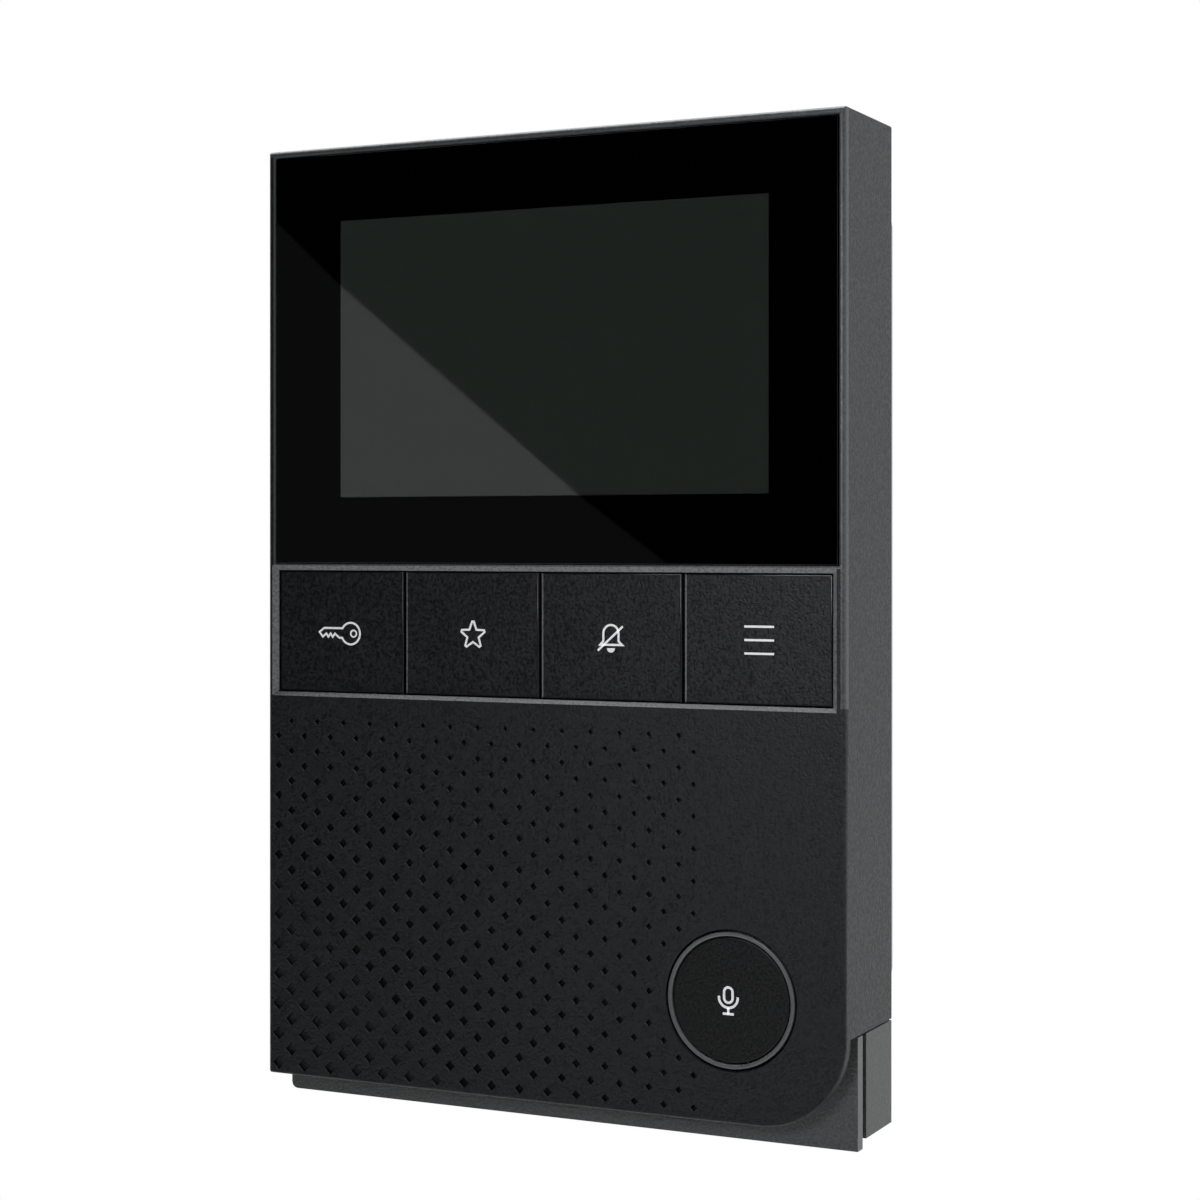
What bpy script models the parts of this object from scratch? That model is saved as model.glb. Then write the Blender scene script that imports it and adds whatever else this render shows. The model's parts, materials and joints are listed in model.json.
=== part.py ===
"""Wall-mounted video intercom monitor, as an assembly of separate pieces.

Metres, +Z up. The origin lies on the back face of the wall plate, on the object's centre line,
at half its height. The wall is the plane y = 0 and the front faces -Y. Most places are given
as (x range, depth range, z range), where depth counts back from the front face.
"""

import math

import bmesh
import bpy
from mathutils import Matrix, Vector

# Overall size
WIDTH = 0.1166
TOTAL_DEPTH = 0.0248
COVER_TOP = 0.08965
PLATE_BOTTOM = -0.08575
LIP_BOTTOM = -0.08965
HOUSING_BOTTOM = -0.08825
HALF = WIDTH / 2
GAP = 0.0003  # clearance between neighbouring pieces
PAST = 0.002  # how far a cutter runs past the wall that it cuts

# Depths of the layers, counted back from the front face
PLATE_BACK = 0.0020
LEDGE_BACK = 0.0028
FRAME_FRONT = 0.00575
FRAME_BACK = 0.0082
BOARD_FRONT = 0.0085
BOARD_BACK = 0.0101
HOUSING_FRONT = 0.0100
FLOOR_FRONT = 0.0216
HOUSING_BACK = 0.0234
WALL_PLATE_FRONT = HOUSING_BACK + GAP
PART_FRONT = BOARD_BACK + GAP  # front of whatever is soldered to the board's back

# Front cover
WALL = 0.0012
SIDE_CUT = -0.0697  # the right-hand wall stops here and shows the frame behind it
PLATE_CORNER = 0.0160
EDGE_CHAMFER = 0.00035
INSIDE = HALF - WALL
INSIDE_TOP = COVER_TOP - WALL

# Cover glass and display
RIM = 0.0014
GLASS_BOTTOM = 0.0112
GLASS_TOP = 0.0883
GLASS_THICKNESS = 0.0011
TAPE_WIDTH = 0.0040
SCREEN_WIDTH = 0.0864
SCREEN_HEIGHT = SCREEN_WIDTH * 3 / 5
SCREEN_CENTRE = (0.0009, 0.04965)
SCREEN_MARGIN = 0.0010
CELL_MARGIN = 0.0030
TRAY_WALL = 0.0005

# Keys
KEY_NAMES = ("door", "favourite", "mute", "menu")
KEY_PITCH = 0.0283
KEY_GAP = 0.00045
KEY_ROW_CENTRE = -0.00085  # x of the middle gap between keys
KEY_FACE = 0.0011
KEY_WINDOW_X = (-0.0566, 0.0556)
KEY_WINDOW_Z = (-0.0131, 0.0100)
WINDOW_CHAMFER = 0.00095
KEY_TRAVEL = 0.0005
FLANGE_FRONT = LEDGE_BACK + GAP
FLANGE_BACK = 0.0038
FLANGE_REACH = 0.0009
STEM_RADIUS = 0.0018
STEM_BACK = 0.0045
GUIDE_FRONT = FLANGE_BACK + KEY_TRAVEL + 0.0001
GUIDE_BACK = 0.00545

# Talk button
TALK_CENTRE = (0.0369, -0.06435)
TALK_BORE = 0.0123
RING_OUTER = 0.01195
RING_INNER = 0.01115
TALK_FACE = 0.0003
TALK_FLANGE = 0.0129

# Push switches
SWITCH_SIDE = 0.0060
SWITCH_FRONT = 0.0054
SWITCH_BACK = FRAME_BACK
PLUNGER_RADIUS = 0.0015
PLUNGER_BORE = 0.0018
PLUNGER_FRONT = 0.0048
PLUNGER_BACK = 0.0066
BORE_BACK = 0.0074

# Chamber wall on the mid frame: it follows the front plate's lower outline, a little inside it
CHAMBER_HALF = 0.0560
CHAMBER_BOTTOM = -0.0832
CHAMBER_TOP = -0.0165
CHAMBER_WALL = 0.0012

# Perforated field: staggered columns, square holes set on their corners
HOLE_COLUMN = 0.00287
HOLE_ROW = 0.00283
HOLE_START = (-0.0562, -0.0186)
HOLE_COLUMNS = 31
HOLE_ROWS = 24
HOLE_SMALL = 0.0009
HOLE_GROWTH_DOWN = 0.00028
HOLE_GROWTH_LEFT = 0.00025
HOLE_GROWTH_CORNER = 0.00115
HOLE_GROWTH_POWER = 0.55

# Loudspeaker
SPEAKER_CENTRE = (-0.0305, -0.0515)
SPEAKER_RADIUS = 0.0200
SPEAKER_OPENING = 0.0183
CONE_RADIUS = 0.0158
CLOTH_RADIUS = 0.0163
SKIN_BACK = 0.0009  # the front plate is this thin over the loudspeaker
CLOTH_BACK = 0.0017

# Microphone, behind one hole of the field
MICROPHONE_COLUMN = 23
MICROPHONE_ROW = 20

# Circuit board
BOARD_HALF = 0.0495
BOARD_BOTTOM = -0.0760
BOARD_TOP = 0.0760
BOARD_SCREWS = ((-0.0455, 0.0720), (0.0455, 0.0720), (-0.0455, -0.0260), (0.0455, -0.0260))

# Case screws and their bosses
CASE_SCREWS = ((-0.0500, 0.0820), (0.0500, 0.0820), (-0.0460, -0.0802), (0.0460, -0.0802))
BOSS_RADIUS = 0.0034
CASE_BORE = 0.0016
HEAD_SEAT = 0.0200

# Rear housing and wall plate
HOUSING_WALL = 0.0018
HOUSING_HALF = INSIDE - GAP
HOUSING_TOP = INSIDE_TOP - GAP
CABLE_OPENING = (0.0220, 0.0080, 0.0340)  # half width, bottom, top
ACCESS_OPENING = (0.0320, -0.0020, 0.0460)
PLATE_HALF = 0.0580
PLATE_LOW = -0.0629
PLATE_HIGH = 0.0738
HOOKS = ((-0.0400, 0.0540), (0.0400, 0.0540), (-0.0400, -0.0300), (0.0400, -0.0300))
HOOK_WIDTH = 0.0080
HOOK_STEM = 0.0012
HOOK_RISE = 0.0045
HOOK_TRAVEL = 0.0060
WALL_SCREW_SPACING = 0.0600
SLOT_LENGTH = 0.0090
SLOT_WIDTH = 0.0044
CORNER_HOLES = ((-0.0500, 0.0660), (0.0500, 0.0660), (-0.0500, -0.0550), (0.0500, -0.0550))

# Colour, roughness and metallic value of each material
MATERIALS = {
    "cover_plastic": ((0.017, 0.018, 0.019), 0.52, 0.0),
    "key_plastic": ((0.014, 0.015, 0.016), 0.45, 0.0),
    "ring_plastic": ((0.20, 0.21, 0.21), 0.35, 0.0),
    "cover_glass": ((0.004, 0.004, 0.004), 0.05, 0.0),
    "display": ((0.030, 0.036, 0.032), 0.25, 0.0),
    "light_guide": ((0.80, 0.82, 0.84), 0.30, 0.0),
    "foam": ((0.03, 0.03, 0.03), 0.90, 0.0),
    "acoustic_cloth": ((0.02, 0.021, 0.022), 0.90, 0.0),
    "frame_plastic": ((0.080, 0.084, 0.085), 0.50, 0.0),
    "housing_plastic": ((0.10, 0.11, 0.11), 0.55, 0.0),
    "steel": ((0.55, 0.56, 0.57), 0.40, 1.0),
    "tinned_metal": ((0.62, 0.62, 0.60), 0.30, 1.0),
    "circuit_board": ((0.01, 0.09, 0.04), 0.40, 0.0),
    "ribbon": ((0.45, 0.20, 0.04), 0.35, 0.0),
    "black_plastic": ((0.02, 0.02, 0.02), 0.45, 0.0),
    "terminal_plastic": ((0.02, 0.20, 0.08), 0.45, 0.0),
    "connector_plastic": ((0.75, 0.72, 0.62), 0.45, 0.0),
    "rubber": ((0.02, 0.02, 0.02), 0.80, 0.0),
    "paper_cone": ((0.03, 0.03, 0.03), 0.85, 0.0),
    "magnet": ((0.20, 0.20, 0.21), 0.45, 1.0),
    "capacitor_sleeve": ((0.02, 0.03, 0.09), 0.30, 0.0),
    "red_insulation": ((0.50, 0.02, 0.02), 0.50, 0.0),
    "black_insulation": ((0.01, 0.01, 0.01), 0.50, 0.0),
}


# ---------------------------------------------------------------- scene and materials


def clear_scene():
    for old in list(bpy.data.objects):
        bpy.data.objects.remove(old, do_unlink=True)


def new_collection(name):
    made = bpy.data.collections.new(name)
    bpy.context.scene.collection.children.link(made)
    return made


def make_materials():
    for name, (colour, roughness, metallic) in MATERIALS.items():
        material = bpy.data.materials.new(name)
        material.use_nodes = True
        shader = material.node_tree.nodes["Principled BSDF"]
        shader.inputs["Base Color"].default_value = (*colour, 1.0)
        shader.inputs["Roughness"].default_value = roughness
        shader.inputs["Metallic"].default_value = metallic


clear_scene()
PARTS = new_collection("video_intercom_monitor")
CUTTERS = new_collection("cutters")
make_materials()


# ---------------------------------------------------------------- shape helpers


def at_depth(depth):
    """World y of a depth behind the front face."""
    return depth - TOTAL_DEPTH


def part(name, mesh, material, location):
    made = bpy.data.objects.new(name, mesh)
    made.location = location
    mesh.materials.append(bpy.data.materials[material])
    PARTS.objects.link(made)
    return made


def helper(mesh, location):
    """A shape that cuts or joins another one and isn't a part itself."""
    made = bpy.data.objects.new("helper", mesh)
    made.location = location
    made.hide_render = True
    made.display_type = "WIRE"
    CUTTERS.objects.link(made)
    return made


def combine(target, other, operation):
    modifier = target.modifiers.new(operation.lower(), "BOOLEAN")
    modifier.operation = operation
    modifier.solver = "EXACT"
    modifier.object = other


def cut(target, *others):
    for other in others:
        combine(target, other, "DIFFERENCE")


def join(target, *others):
    for other in others:
        combine(target, other, "UNION")


def mesh_from(bm):
    mesh = bpy.data.meshes.new("mesh")
    bm.to_mesh(mesh)
    bm.free()
    return mesh


def box_form(x, depth, z):
    """(bmesh, location) of a box with these ranges, centred on its own origin."""
    size = Vector((x[1] - x[0], depth[1] - depth[0], z[1] - z[0]))
    centre = Vector((x[0] + x[1], 2 * at_depth(0) + depth[0] + depth[1], z[0] + z[1])) / 2
    bm = bmesh.new()
    bmesh.ops.create_cube(bm, size=1.0)
    bmesh.ops.scale(bm, vec=size, verts=bm.verts)
    return bm, centre


def box(name, material, x, depth, z):
    bm, centre = box_form(x, depth, z)
    return part(name, mesh_from(bm), material, centre)


def box_helper(x, depth, z):
    bm, centre = box_form(x, depth, z)
    return helper(mesh_from(bm), centre)


def around(centre, half):
    return (centre - half, centre + half)


def round_corners(bm, corners, radius, segments):
    """Rounds a box's edges that run front to back, at the given (x sign, z sign) corners."""
    edges = []
    for edge in bm.edges:
        a, b = (vert.co for vert in edge.verts)
        runs_back = abs(a.y - b.y) > 1e-6 and abs(a.x - b.x) < 1e-9 and abs(a.z - b.z) < 1e-9
        if runs_back and (math.copysign(1, a.x), math.copysign(1, a.z)) in corners:
            edges.append(edge)
    bmesh.ops.bevel(
        bm, geom=edges, offset=radius, segments=segments, profile=0.5, affect="EDGES"
    )


ALL_CORNERS = ((-1, -1), (-1, 1), (1, -1), (1, 1))


def rounded_form(x, depth, z, radius, segments=4, corners=ALL_CORNERS):
    bm, centre = box_form(x, depth, z)
    round_corners(bm, corners, radius, segments)
    return bm, centre


def chamfer_front(bm, width):
    """Chamfers the edges round a shape's front face."""
    front = min(vert.co.y for vert in bm.verts)
    edges = [e for e in bm.edges if all(abs(v.co.y - front) < 1e-7 for v in e.verts)]
    bmesh.ops.bevel(bm, geom=edges, offset=width, segments=1, profile=0.5, affect="EDGES")


def tapered_helper(x, depth, z, taper):
    """A box whose back face is smaller by taper on every side."""
    bm, centre = box_form(x, depth, z)
    for vert in bm.verts:
        if vert.co.y > 0:
            vert.co.x -= math.copysign(taper, vert.co.x)
            vert.co.z -= math.copysign(taper, vert.co.z)
    return helper(mesh_from(bm), centre)


def disc_mesh(radius, length, segments):
    """A cylinder along Y, centred on its origin."""
    bm = bmesh.new()
    bmesh.ops.create_cone(
        bm, cap_ends=True, segments=segments, radius1=radius, radius2=radius, depth=length
    )
    bmesh.ops.rotate(bm, verts=bm.verts, matrix=Matrix.Rotation(math.pi / 2, 3, "X"))
    return mesh_from(bm)


def disc_place(centre, depth):
    return Vector((centre[0], at_depth((depth[0] + depth[1]) / 2), centre[1]))


def disc(name, material, centre, radius, depth, segments=24):
    mesh = disc_mesh(radius, depth[1] - depth[0], segments)
    return smooth(part(name, mesh, material, disc_place(centre, depth)))


def disc_helper(centre, radius, depth, segments=24):
    return helper(disc_mesh(radius, depth[1] - depth[0], segments), disc_place(centre, depth))


def smooth(made):
    made.data.shade_smooth()
    made.data.set_sharp_from_angle(angle=math.radians(35))
    return made


def turned(name, material, centre, profile, steps=24):
    """A turned piece whose axis runs front to back. The profile lists (radius, depth), from the
    front out to the rim and back down its outer side; a profile off the axis is closed."""
    mesh = bpy.data.meshes.new(name)
    bm = bmesh.new()
    verts = [bm.verts.new((radius, 0.0, -depth)) for radius, depth in profile]
    for first, second in zip(verts, verts[1:]):
        bm.edges.new((first, second))
    if profile[0][0] > 0:
        bm.edges.new((verts[-1], verts[0]))
    bm.to_mesh(mesh)
    bm.free()
    made = part(name, mesh, material, (centre[0], at_depth(0), centre[1]))
    made.rotation_euler = (math.pi / 2, 0.0, 0.0)
    screw = made.modifiers.new("turn", "SCREW")
    screw.axis = "Z"
    screw.steps = steps
    screw.render_steps = steps
    screw.use_merge_vertices = True
    screw.merge_threshold = 0.00001
    screw.use_smooth_shade = False
    return made


def tube(name, material, points, radius):
    """A round wire through these points."""
    curve = bpy.data.curves.new(name, "CURVE")
    curve.dimensions = "3D"
    curve.bevel_depth = radius
    curve.bevel_resolution = 2
    curve.use_fill_caps = True
    spline = curve.splines.new("POLY")
    spline.points.add(len(points) - 1)
    for point, place in zip(spline.points, points):
        point.co = (*place, 1.0)
    made = bpy.data.objects.new(name, curve)
    curve.materials.append(bpy.data.materials[material])
    PARTS.objects.link(made)
    return made


def bezier_points(start, start_pull, end_pull, end, count):
    """Evenly spaced parameters along one cubic curve."""
    ends = [Vector(corner) for corner in (start, start_pull, end_pull, end)]
    points = []
    for index in range(count):
        t = index / (count - 1)
        weights = ((1 - t) ** 3, 3 * t * (1 - t) ** 2, 3 * t * t * (1 - t), t**3)
        points.append(sum((w * c for w, c in zip(weights, ends)), Vector()))
    return points


# ---------------------------------------------------------------- perforated field


def hole_place(column, row):
    return (HOLE_START[0] + column * HOLE_COLUMN, HOLE_START[1] - row * HOLE_ROW)


def hole_diagonal(column, row):
    """Holes grow towards the field's lower left corner."""
    towards_left = 1 - column / (HOLE_COLUMNS - 1)
    downwards = row / (HOLE_ROWS - 1)
    sideways = HOLE_GROWTH_LEFT + HOLE_GROWTH_CORNER * downwards**HOLE_GROWTH_POWER
    return HOLE_SMALL + HOLE_GROWTH_DOWN * downwards + sideways * towards_left


def sound_holes():
    """The holes over the loudspeaker's cone, and the one in front of the microphone."""
    chosen = [(MICROPHONE_COLUMN, MICROPHONE_ROW)]
    for row in range(HOLE_ROWS):
        for column in range((row + 1) % 2, HOLE_COLUMNS, 2):
            x, z = hole_place(column, row)
            if math.hypot(x - SPEAKER_CENTRE[0], z - SPEAKER_CENTRE[1]) < CONE_RADIUS:
                chosen.append((column, row))
    return chosen


def hole_cutter():
    bm = bmesh.new()
    corner_up = Matrix.Rotation(math.pi / 4, 4, "Y")
    for column, row in sound_holes():
        side = hole_diagonal(column, row) / math.sqrt(2)
        x, z = hole_place(column, row)
        place = Matrix.Translation((x, at_depth(PLATE_BACK / 2), z)) @ corner_up
        size = Matrix.Diagonal((side, PLATE_BACK + 2 * PAST, side, 1.0))
        bmesh.ops.create_cube(bm, size=1.0, matrix=place @ size)
    return helper(mesh_from(bm), (0, 0, 0))


# ---------------------------------------------------------------- case


def make_front_cover():
    bm, centre = rounded_form(
        (-HALF, HALF),
        (0, HOUSING_BACK),
        (PLATE_BOTTOM, COVER_TOP),
        PLATE_CORNER,
        segments=10,
        corners=((1, -1),),
    )
    chamfer_front(bm, EDGE_CHAMFER)
    cover = part("front_cover", mesh_from(bm), "cover_plastic", centre)
    below = PLATE_BOTTOM - PAST
    behind = HOUSING_BACK + PAST
    cut(cover, box_helper((-INSIDE, INSIDE), (PLATE_BACK, behind), (below, INSIDE_TOP)))
    cut(cover, box_helper((INSIDE - PAST, HALF + PAST), (PLATE_BACK, behind), (below, SIDE_CUT)))
    ledge = (KEY_WINDOW_Z[1] + 0.0002, INSIDE_TOP + 0.0005)
    join(cover, box_helper(around(0, INSIDE + 0.0005), (PLATE_BACK / 2, LEDGE_BACK), ledge))
    cut(
        cover,
        box_helper((RIM - HALF, HALF - RIM), (-PAST, PLATE_BACK), (GLASS_BOTTOM, GLASS_TOP)),
        screen_opening(),
        box_helper(KEY_WINDOW_X, (-PAST, LEDGE_BACK + PAST), KEY_WINDOW_Z),
        key_window_chamfer(),
        disc_helper(TALK_CENTRE, TALK_BORE, (-PAST, PLATE_BACK + PAST), segments=40),
        disc_helper(SPEAKER_CENTRE, CLOTH_RADIUS + GAP, (SKIN_BACK, PLATE_BACK + PAST), 32),
        hole_cutter(),
    )
    return cover


def screen_opening():
    half_width = SCREEN_WIDTH / 2 + SCREEN_MARGIN
    half_height = SCREEN_HEIGHT / 2 + SCREEN_MARGIN
    x, z = SCREEN_CENTRE
    return box_helper(around(x, half_width), (-PAST, LEDGE_BACK + PAST), around(z, half_height))


def key_window_chamfer():
    lift = 0.0002
    wide = WINDOW_CHAMFER + lift
    x = (KEY_WINDOW_X[0] - wide, KEY_WINDOW_X[1] + wide)
    z = (KEY_WINDOW_Z[0] - wide, KEY_WINDOW_Z[1] + wide)
    return tapered_helper(x, (-lift, WINDOW_CHAMFER), z, wide)


def make_glass():
    bm, centre = box_form(
        around(0, HALF - RIM - GAP / 2),
        (0, GLASS_THICKNESS),
        (GLASS_BOTTOM + GAP / 2, GLASS_TOP - GAP / 2),
    )
    chamfer_front(bm, 0.00015)
    part("cover_glass", mesh_from(bm), "cover_glass", centre)
    front = GLASS_THICKNESS + GAP
    depth = (front, PLATE_BACK - GAP)
    tape_half = HALF - RIM - GAP
    tape_z = (GLASS_BOTTOM + GAP, GLASS_TOP - GAP)
    tape = box("glass_adhesive", "foam", around(0, tape_half), depth, tape_z)
    inner_z = (tape_z[0] + TAPE_WIDTH, tape_z[1] - TAPE_WIDTH)
    cut(tape, box_helper(around(0, tape_half - TAPE_WIDTH), (0, PLATE_BACK + PAST), inner_z))


def make_mid_frame():
    bm, centre = rounded_form(
        (-HOUSING_HALF, HOUSING_HALF),
        (FRAME_FRONT, FRAME_BACK),
        (LIP_BOTTOM, HOUSING_TOP),
        0.0012,
        segments=3,
        corners=((-1, -1), (-1, 1), (1, 1)),
    )
    frame = part("mid_frame", mesh_from(bm), "frame_plastic", centre)
    join(frame, flush_corner((FRAME_FRONT, FRAME_BACK), LIP_BOTTOM))
    through = (FRAME_FRONT - PAST, FRAME_BACK + PAST)
    join(frame, chamber_wall())
    rest = (0.0047, FRAME_FRONT + 0.0005)
    join(frame, disc_helper(SPEAKER_CENTRE, SPEAKER_RADIUS + 0.001, rest, segments=32))
    cut(frame, disc_helper(SPEAKER_CENTRE, SPEAKER_OPENING, (0.004, through[1]), segments=32))
    for place in CASE_SCREWS:
        join(frame, disc_helper(place, 0.0030, (0.0037, FRAME_FRONT + 0.001), segments=12))
        cut(frame, disc_helper(place, CASE_BORE, (0.0046, through[1]), segments=12))
    for place in BOARD_SCREWS:
        cut(frame, disc_helper(place, 0.0011, through, segments=8))
    for x, z in switch_places():
        opening = SWITCH_SIDE / 2 + GAP
        cut(frame, box_helper(around(x, opening), through, around(z, opening)))
    cut(frame, box_helper(around(0, 0.0110), through, (0.0065, 0.0150)))


def chamber_wall():
    """A closed wall round the loudspeaker and the talk button, as a helper."""
    depth = (PLATE_BACK + GAP, FRAME_FRONT + 0.0005)
    corner = PLATE_CORNER - (HALF - CHAMBER_HALF)
    outer, centre = box_form(around(0, CHAMBER_HALF), depth, (CHAMBER_BOTTOM, CHAMBER_TOP))
    round_corners(outer, ((1, -1),), corner, 8)
    wall = helper(mesh_from(outer), centre)
    inner, centre = box_form(
        around(0, CHAMBER_HALF - CHAMBER_WALL),
        (depth[0] - PAST, depth[1] + PAST),
        (CHAMBER_BOTTOM + CHAMBER_WALL, CHAMBER_TOP - CHAMBER_WALL),
    )
    round_corners(inner, ((1, -1),), corner - CHAMBER_WALL, 8)
    cut(wall, helper(mesh_from(inner), centre))
    return wall


def flush_corner(depth, bottom):
    """The lower right block that reaches the case's side, below the cover's wall."""
    return box_helper((HOUSING_HALF - 0.001, HALF), depth, (bottom, SIDE_CUT - GAP))


def make_rear_housing():
    outer = (-HOUSING_HALF, HOUSING_HALF)
    z = (HOUSING_BOTTOM, HOUSING_TOP)
    housing = box("rear_housing", "housing_plastic", outer, (HOUSING_FRONT, HOUSING_BACK), z)
    join(housing, flush_corner((HOUSING_FRONT, HOUSING_BACK), HOUSING_BOTTOM))
    hollow = (HOUSING_FRONT - PAST, FLOOR_FRONT)
    inside = HOUSING_HALF - HOUSING_WALL
    inside_z = (HOUSING_BOTTOM + HOUSING_WALL, HOUSING_TOP - HOUSING_WALL)
    cut(housing, box_helper((-inside, inside), hollow, inside_z))
    join(housing, front_tongue(inside, inside_z))
    for place in CASE_SCREWS:
        boss = (FRAME_BACK + GAP, FLOOR_FRONT + 0.0008)
        join(housing, disc_helper(place, BOSS_RADIUS, boss, segments=16))
    for place in CASE_SCREWS:
        cut(housing, disc_helper(place, CASE_BORE, (0.006, HOUSING_BACK + PAST), segments=12))
        cut(housing, disc_helper(place, 0.0028, (HEAD_SEAT, HOUSING_BACK + PAST), segments=16))
    through = (FLOOR_FRONT - PAST, HOUSING_BACK + PAST)
    half_width, bottom, top = ACCESS_OPENING
    cut(housing, box_helper(around(0, half_width), through, (bottom, top)))
    for x, z in HOOKS:
        slot = (z - HOOK_TRAVEL, z + HOOK_STEM + GAP)
        cut(housing, box_helper(around(x, HOOK_WIDTH / 2 + GAP), through, slot))


def front_tongue(inside, inside_z):
    """The housing's narrower front edge, which leaves a groove round the case, as a helper."""
    overlap = 0.0003
    width = 0.0014
    depth = (FRAME_BACK + GAP, HOUSING_FRONT + 0.0005)
    outer_z = (inside_z[0] - overlap, inside_z[1] + overlap)
    tongue = box_helper(around(0, inside + overlap), depth, outer_z)
    inner_z = (outer_z[0] + width, outer_z[1] - width)
    inner_depth = (depth[0] - PAST, depth[1] + PAST)
    cut(tongue, box_helper(around(0, inside + overlap - width), inner_depth, inner_z))
    return tongue


def make_wall_plate():
    bm, centre = rounded_form(
        (-PLATE_HALF, PLATE_HALF), (WALL_PLATE_FRONT, TOTAL_DEPTH), (PLATE_LOW, PLATE_HIGH), 0.002
    )
    plate = part("wall_plate", mesh_from(bm), "steel", centre)
    through = (WALL_PLATE_FRONT - PAST, TOTAL_DEPTH + PAST)
    half_width, bottom, top = CABLE_OPENING
    opening, place = rounded_form((-half_width, half_width), through, (bottom, top), 0.004)
    cut(plate, helper(mesh_from(opening), place))
    for side in (-1, 1):
        slot, place = rounded_form(
            around(side * WALL_SCREW_SPACING / 2, SLOT_LENGTH / 2),
            through,
            around(0, SLOT_WIDTH / 2),
            SLOT_WIDTH * 0.49,
        )
        cut(plate, helper(mesh_from(slot), place))
    slot, place = rounded_form(
        around(0, SLOT_WIDTH / 2),
        through,
        around(-WALL_SCREW_SPACING / 2, SLOT_LENGTH / 2),
        SLOT_WIDTH * 0.49,
    )
    cut(plate, helper(mesh_from(slot), place))
    for hole in CORNER_HOLES:
        cut(plate, disc_helper(hole, SLOT_WIDTH / 2, through, segments=16))
    for x, z in HOOKS:
        lip_back = FLOOR_FRONT - GAP
        lip_front = lip_back - HOOK_STEM
        width = around(x, HOOK_WIDTH / 2)
        join(plate, box_helper(width, (lip_front, WALL_PLATE_FRONT + 0.0005), (z, z + HOOK_STEM)))
        join(plate, box_helper(width, (lip_front, lip_back), (z + 0.0006, z + HOOK_RISE)))


# ---------------------------------------------------------------- display


def make_display():
    x, z = SCREEN_CENTRE
    half_width = SCREEN_WIDTH / 2 + CELL_MARGIN
    half_height = SCREEN_HEIGHT / 2 + CELL_MARGIN
    front = LEDGE_BACK + GAP
    cell_back = front + 0.0008
    guide_back = cell_back + GAP + 0.0005
    tray_inside = guide_back + GAP
    tray_back = FRAME_FRONT - GAP
    cell_x = around(x, half_width)
    cell_z = around(z, half_height)
    box("lcd_panel", "display", cell_x, (front, cell_back), cell_z)
    box("lcd_backlight", "light_guide", cell_x, (cell_back + GAP, guide_back), cell_z)
    outer_x = around(x, half_width + GAP + TRAY_WALL)
    outer_z = around(z, half_height + GAP + TRAY_WALL)
    tray = box("lcd_frame", "tinned_metal", outer_x, (front, tray_back), outer_z)
    inner_x = around(x, half_width + GAP)
    inner_z = around(z, half_height + GAP)
    cut(tray, box_helper(inner_x, (front - PAST, tray_inside), inner_z))
    make_ribbon(outer_z[0] - GAP, tray_inside)


def make_ribbon(top, depth):
    """The display's ribbon cable steps back through the frame's slot to its connector."""
    half_width = 0.0090
    thickness = 0.0003
    bend = 0.0130
    end_depth = 0.0072
    connector_top = 0.0105
    width = around(0, half_width)
    drop = (bend - thickness, top)
    ribbon = box("lcd_flex_cable", "ribbon", width, (depth, depth + thickness), drop)
    run_back = (depth, end_depth + thickness)
    join(ribbon, box_helper(width, run_back, (bend - thickness, bend)))
    end = (connector_top + GAP, bend)
    join(ribbon, box_helper(width, (end_depth, end_depth + thickness), end))
    connector_z = (0.0072, connector_top)
    box("lcd_connector", "connector_plastic", around(0, 0.0100), (0.0064, 0.0082), connector_z)


# ---------------------------------------------------------------- keys and switches


def key_centre_x(index):
    return KEY_ROW_CENTRE + (index - 1.5) * KEY_PITCH


def key_span(index):
    """(left, right) edge of a key: a full pitch less the gap, held inside the window."""
    left = key_centre_x(index) - (KEY_PITCH - KEY_GAP) / 2
    right = key_centre_x(index) + (KEY_PITCH - KEY_GAP) / 2
    return (max(left, KEY_WINDOW_X[0] + GAP), min(right, KEY_WINDOW_X[1] - GAP))


def key_centre_z():
    return sum(KEY_WINDOW_Z) / 2


def switch_places():
    places = [(key_centre_x(index), key_centre_z()) for index in range(len(KEY_NAMES))]
    return [*places, TALK_CENTRE]


def stem_helper(centre, front):
    return disc_helper(centre, STEM_RADIUS, (front, STEM_BACK), segments=12)


def make_keys():
    bottom = KEY_WINDOW_Z[0] + GAP
    top = KEY_WINDOW_Z[1] - GAP
    for index, name in enumerate(KEY_NAMES):
        left, right = key_span(index)
        bm, centre = box_form((left, right), (KEY_FACE, FLANGE_BACK - 0.0003), (bottom, top))
        chamfer_front(bm, 0.0004)
        key = part(f"key_{name}", mesh_from(bm), "key_plastic", centre)
        flange_z = (bottom - FLANGE_REACH, top + FLANGE_REACH)
        join(key, box_helper((left, right), (FLANGE_FRONT, FLANGE_BACK), flange_z))
        join(key, stem_helper((key_centre_x(index), key_centre_z()), FLANGE_BACK - 0.0005))
        make_switch(name, (key_centre_x(index), key_centre_z()))


def make_key_guide():
    """A frame behind the keys that stops their flanges and keeps them apart."""
    outer = 0.0567
    bottom = KEY_WINDOW_Z[0] - 0.0022
    top = KEY_WINDOW_Z[1] + 0.0018
    bar = 0.0013
    depth = (GUIDE_FRONT, GUIDE_BACK)
    guide = box("key_guide", "black_plastic", around(0, outer), depth, (bottom, top))
    for index in range(len(KEY_NAMES)):
        centre = key_centre_x(index)
        left = max(centre - KEY_PITCH / 2 + bar, 2 * bar - outer)
        right = min(centre + KEY_PITCH / 2 - bar, outer - 2 * bar)
        opening_z = (bottom + 0.0020, top - 0.0020)
        cut(guide, box_helper((left, right), (GUIDE_FRONT - PAST, GUIDE_BACK + PAST), opening_z))


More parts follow.
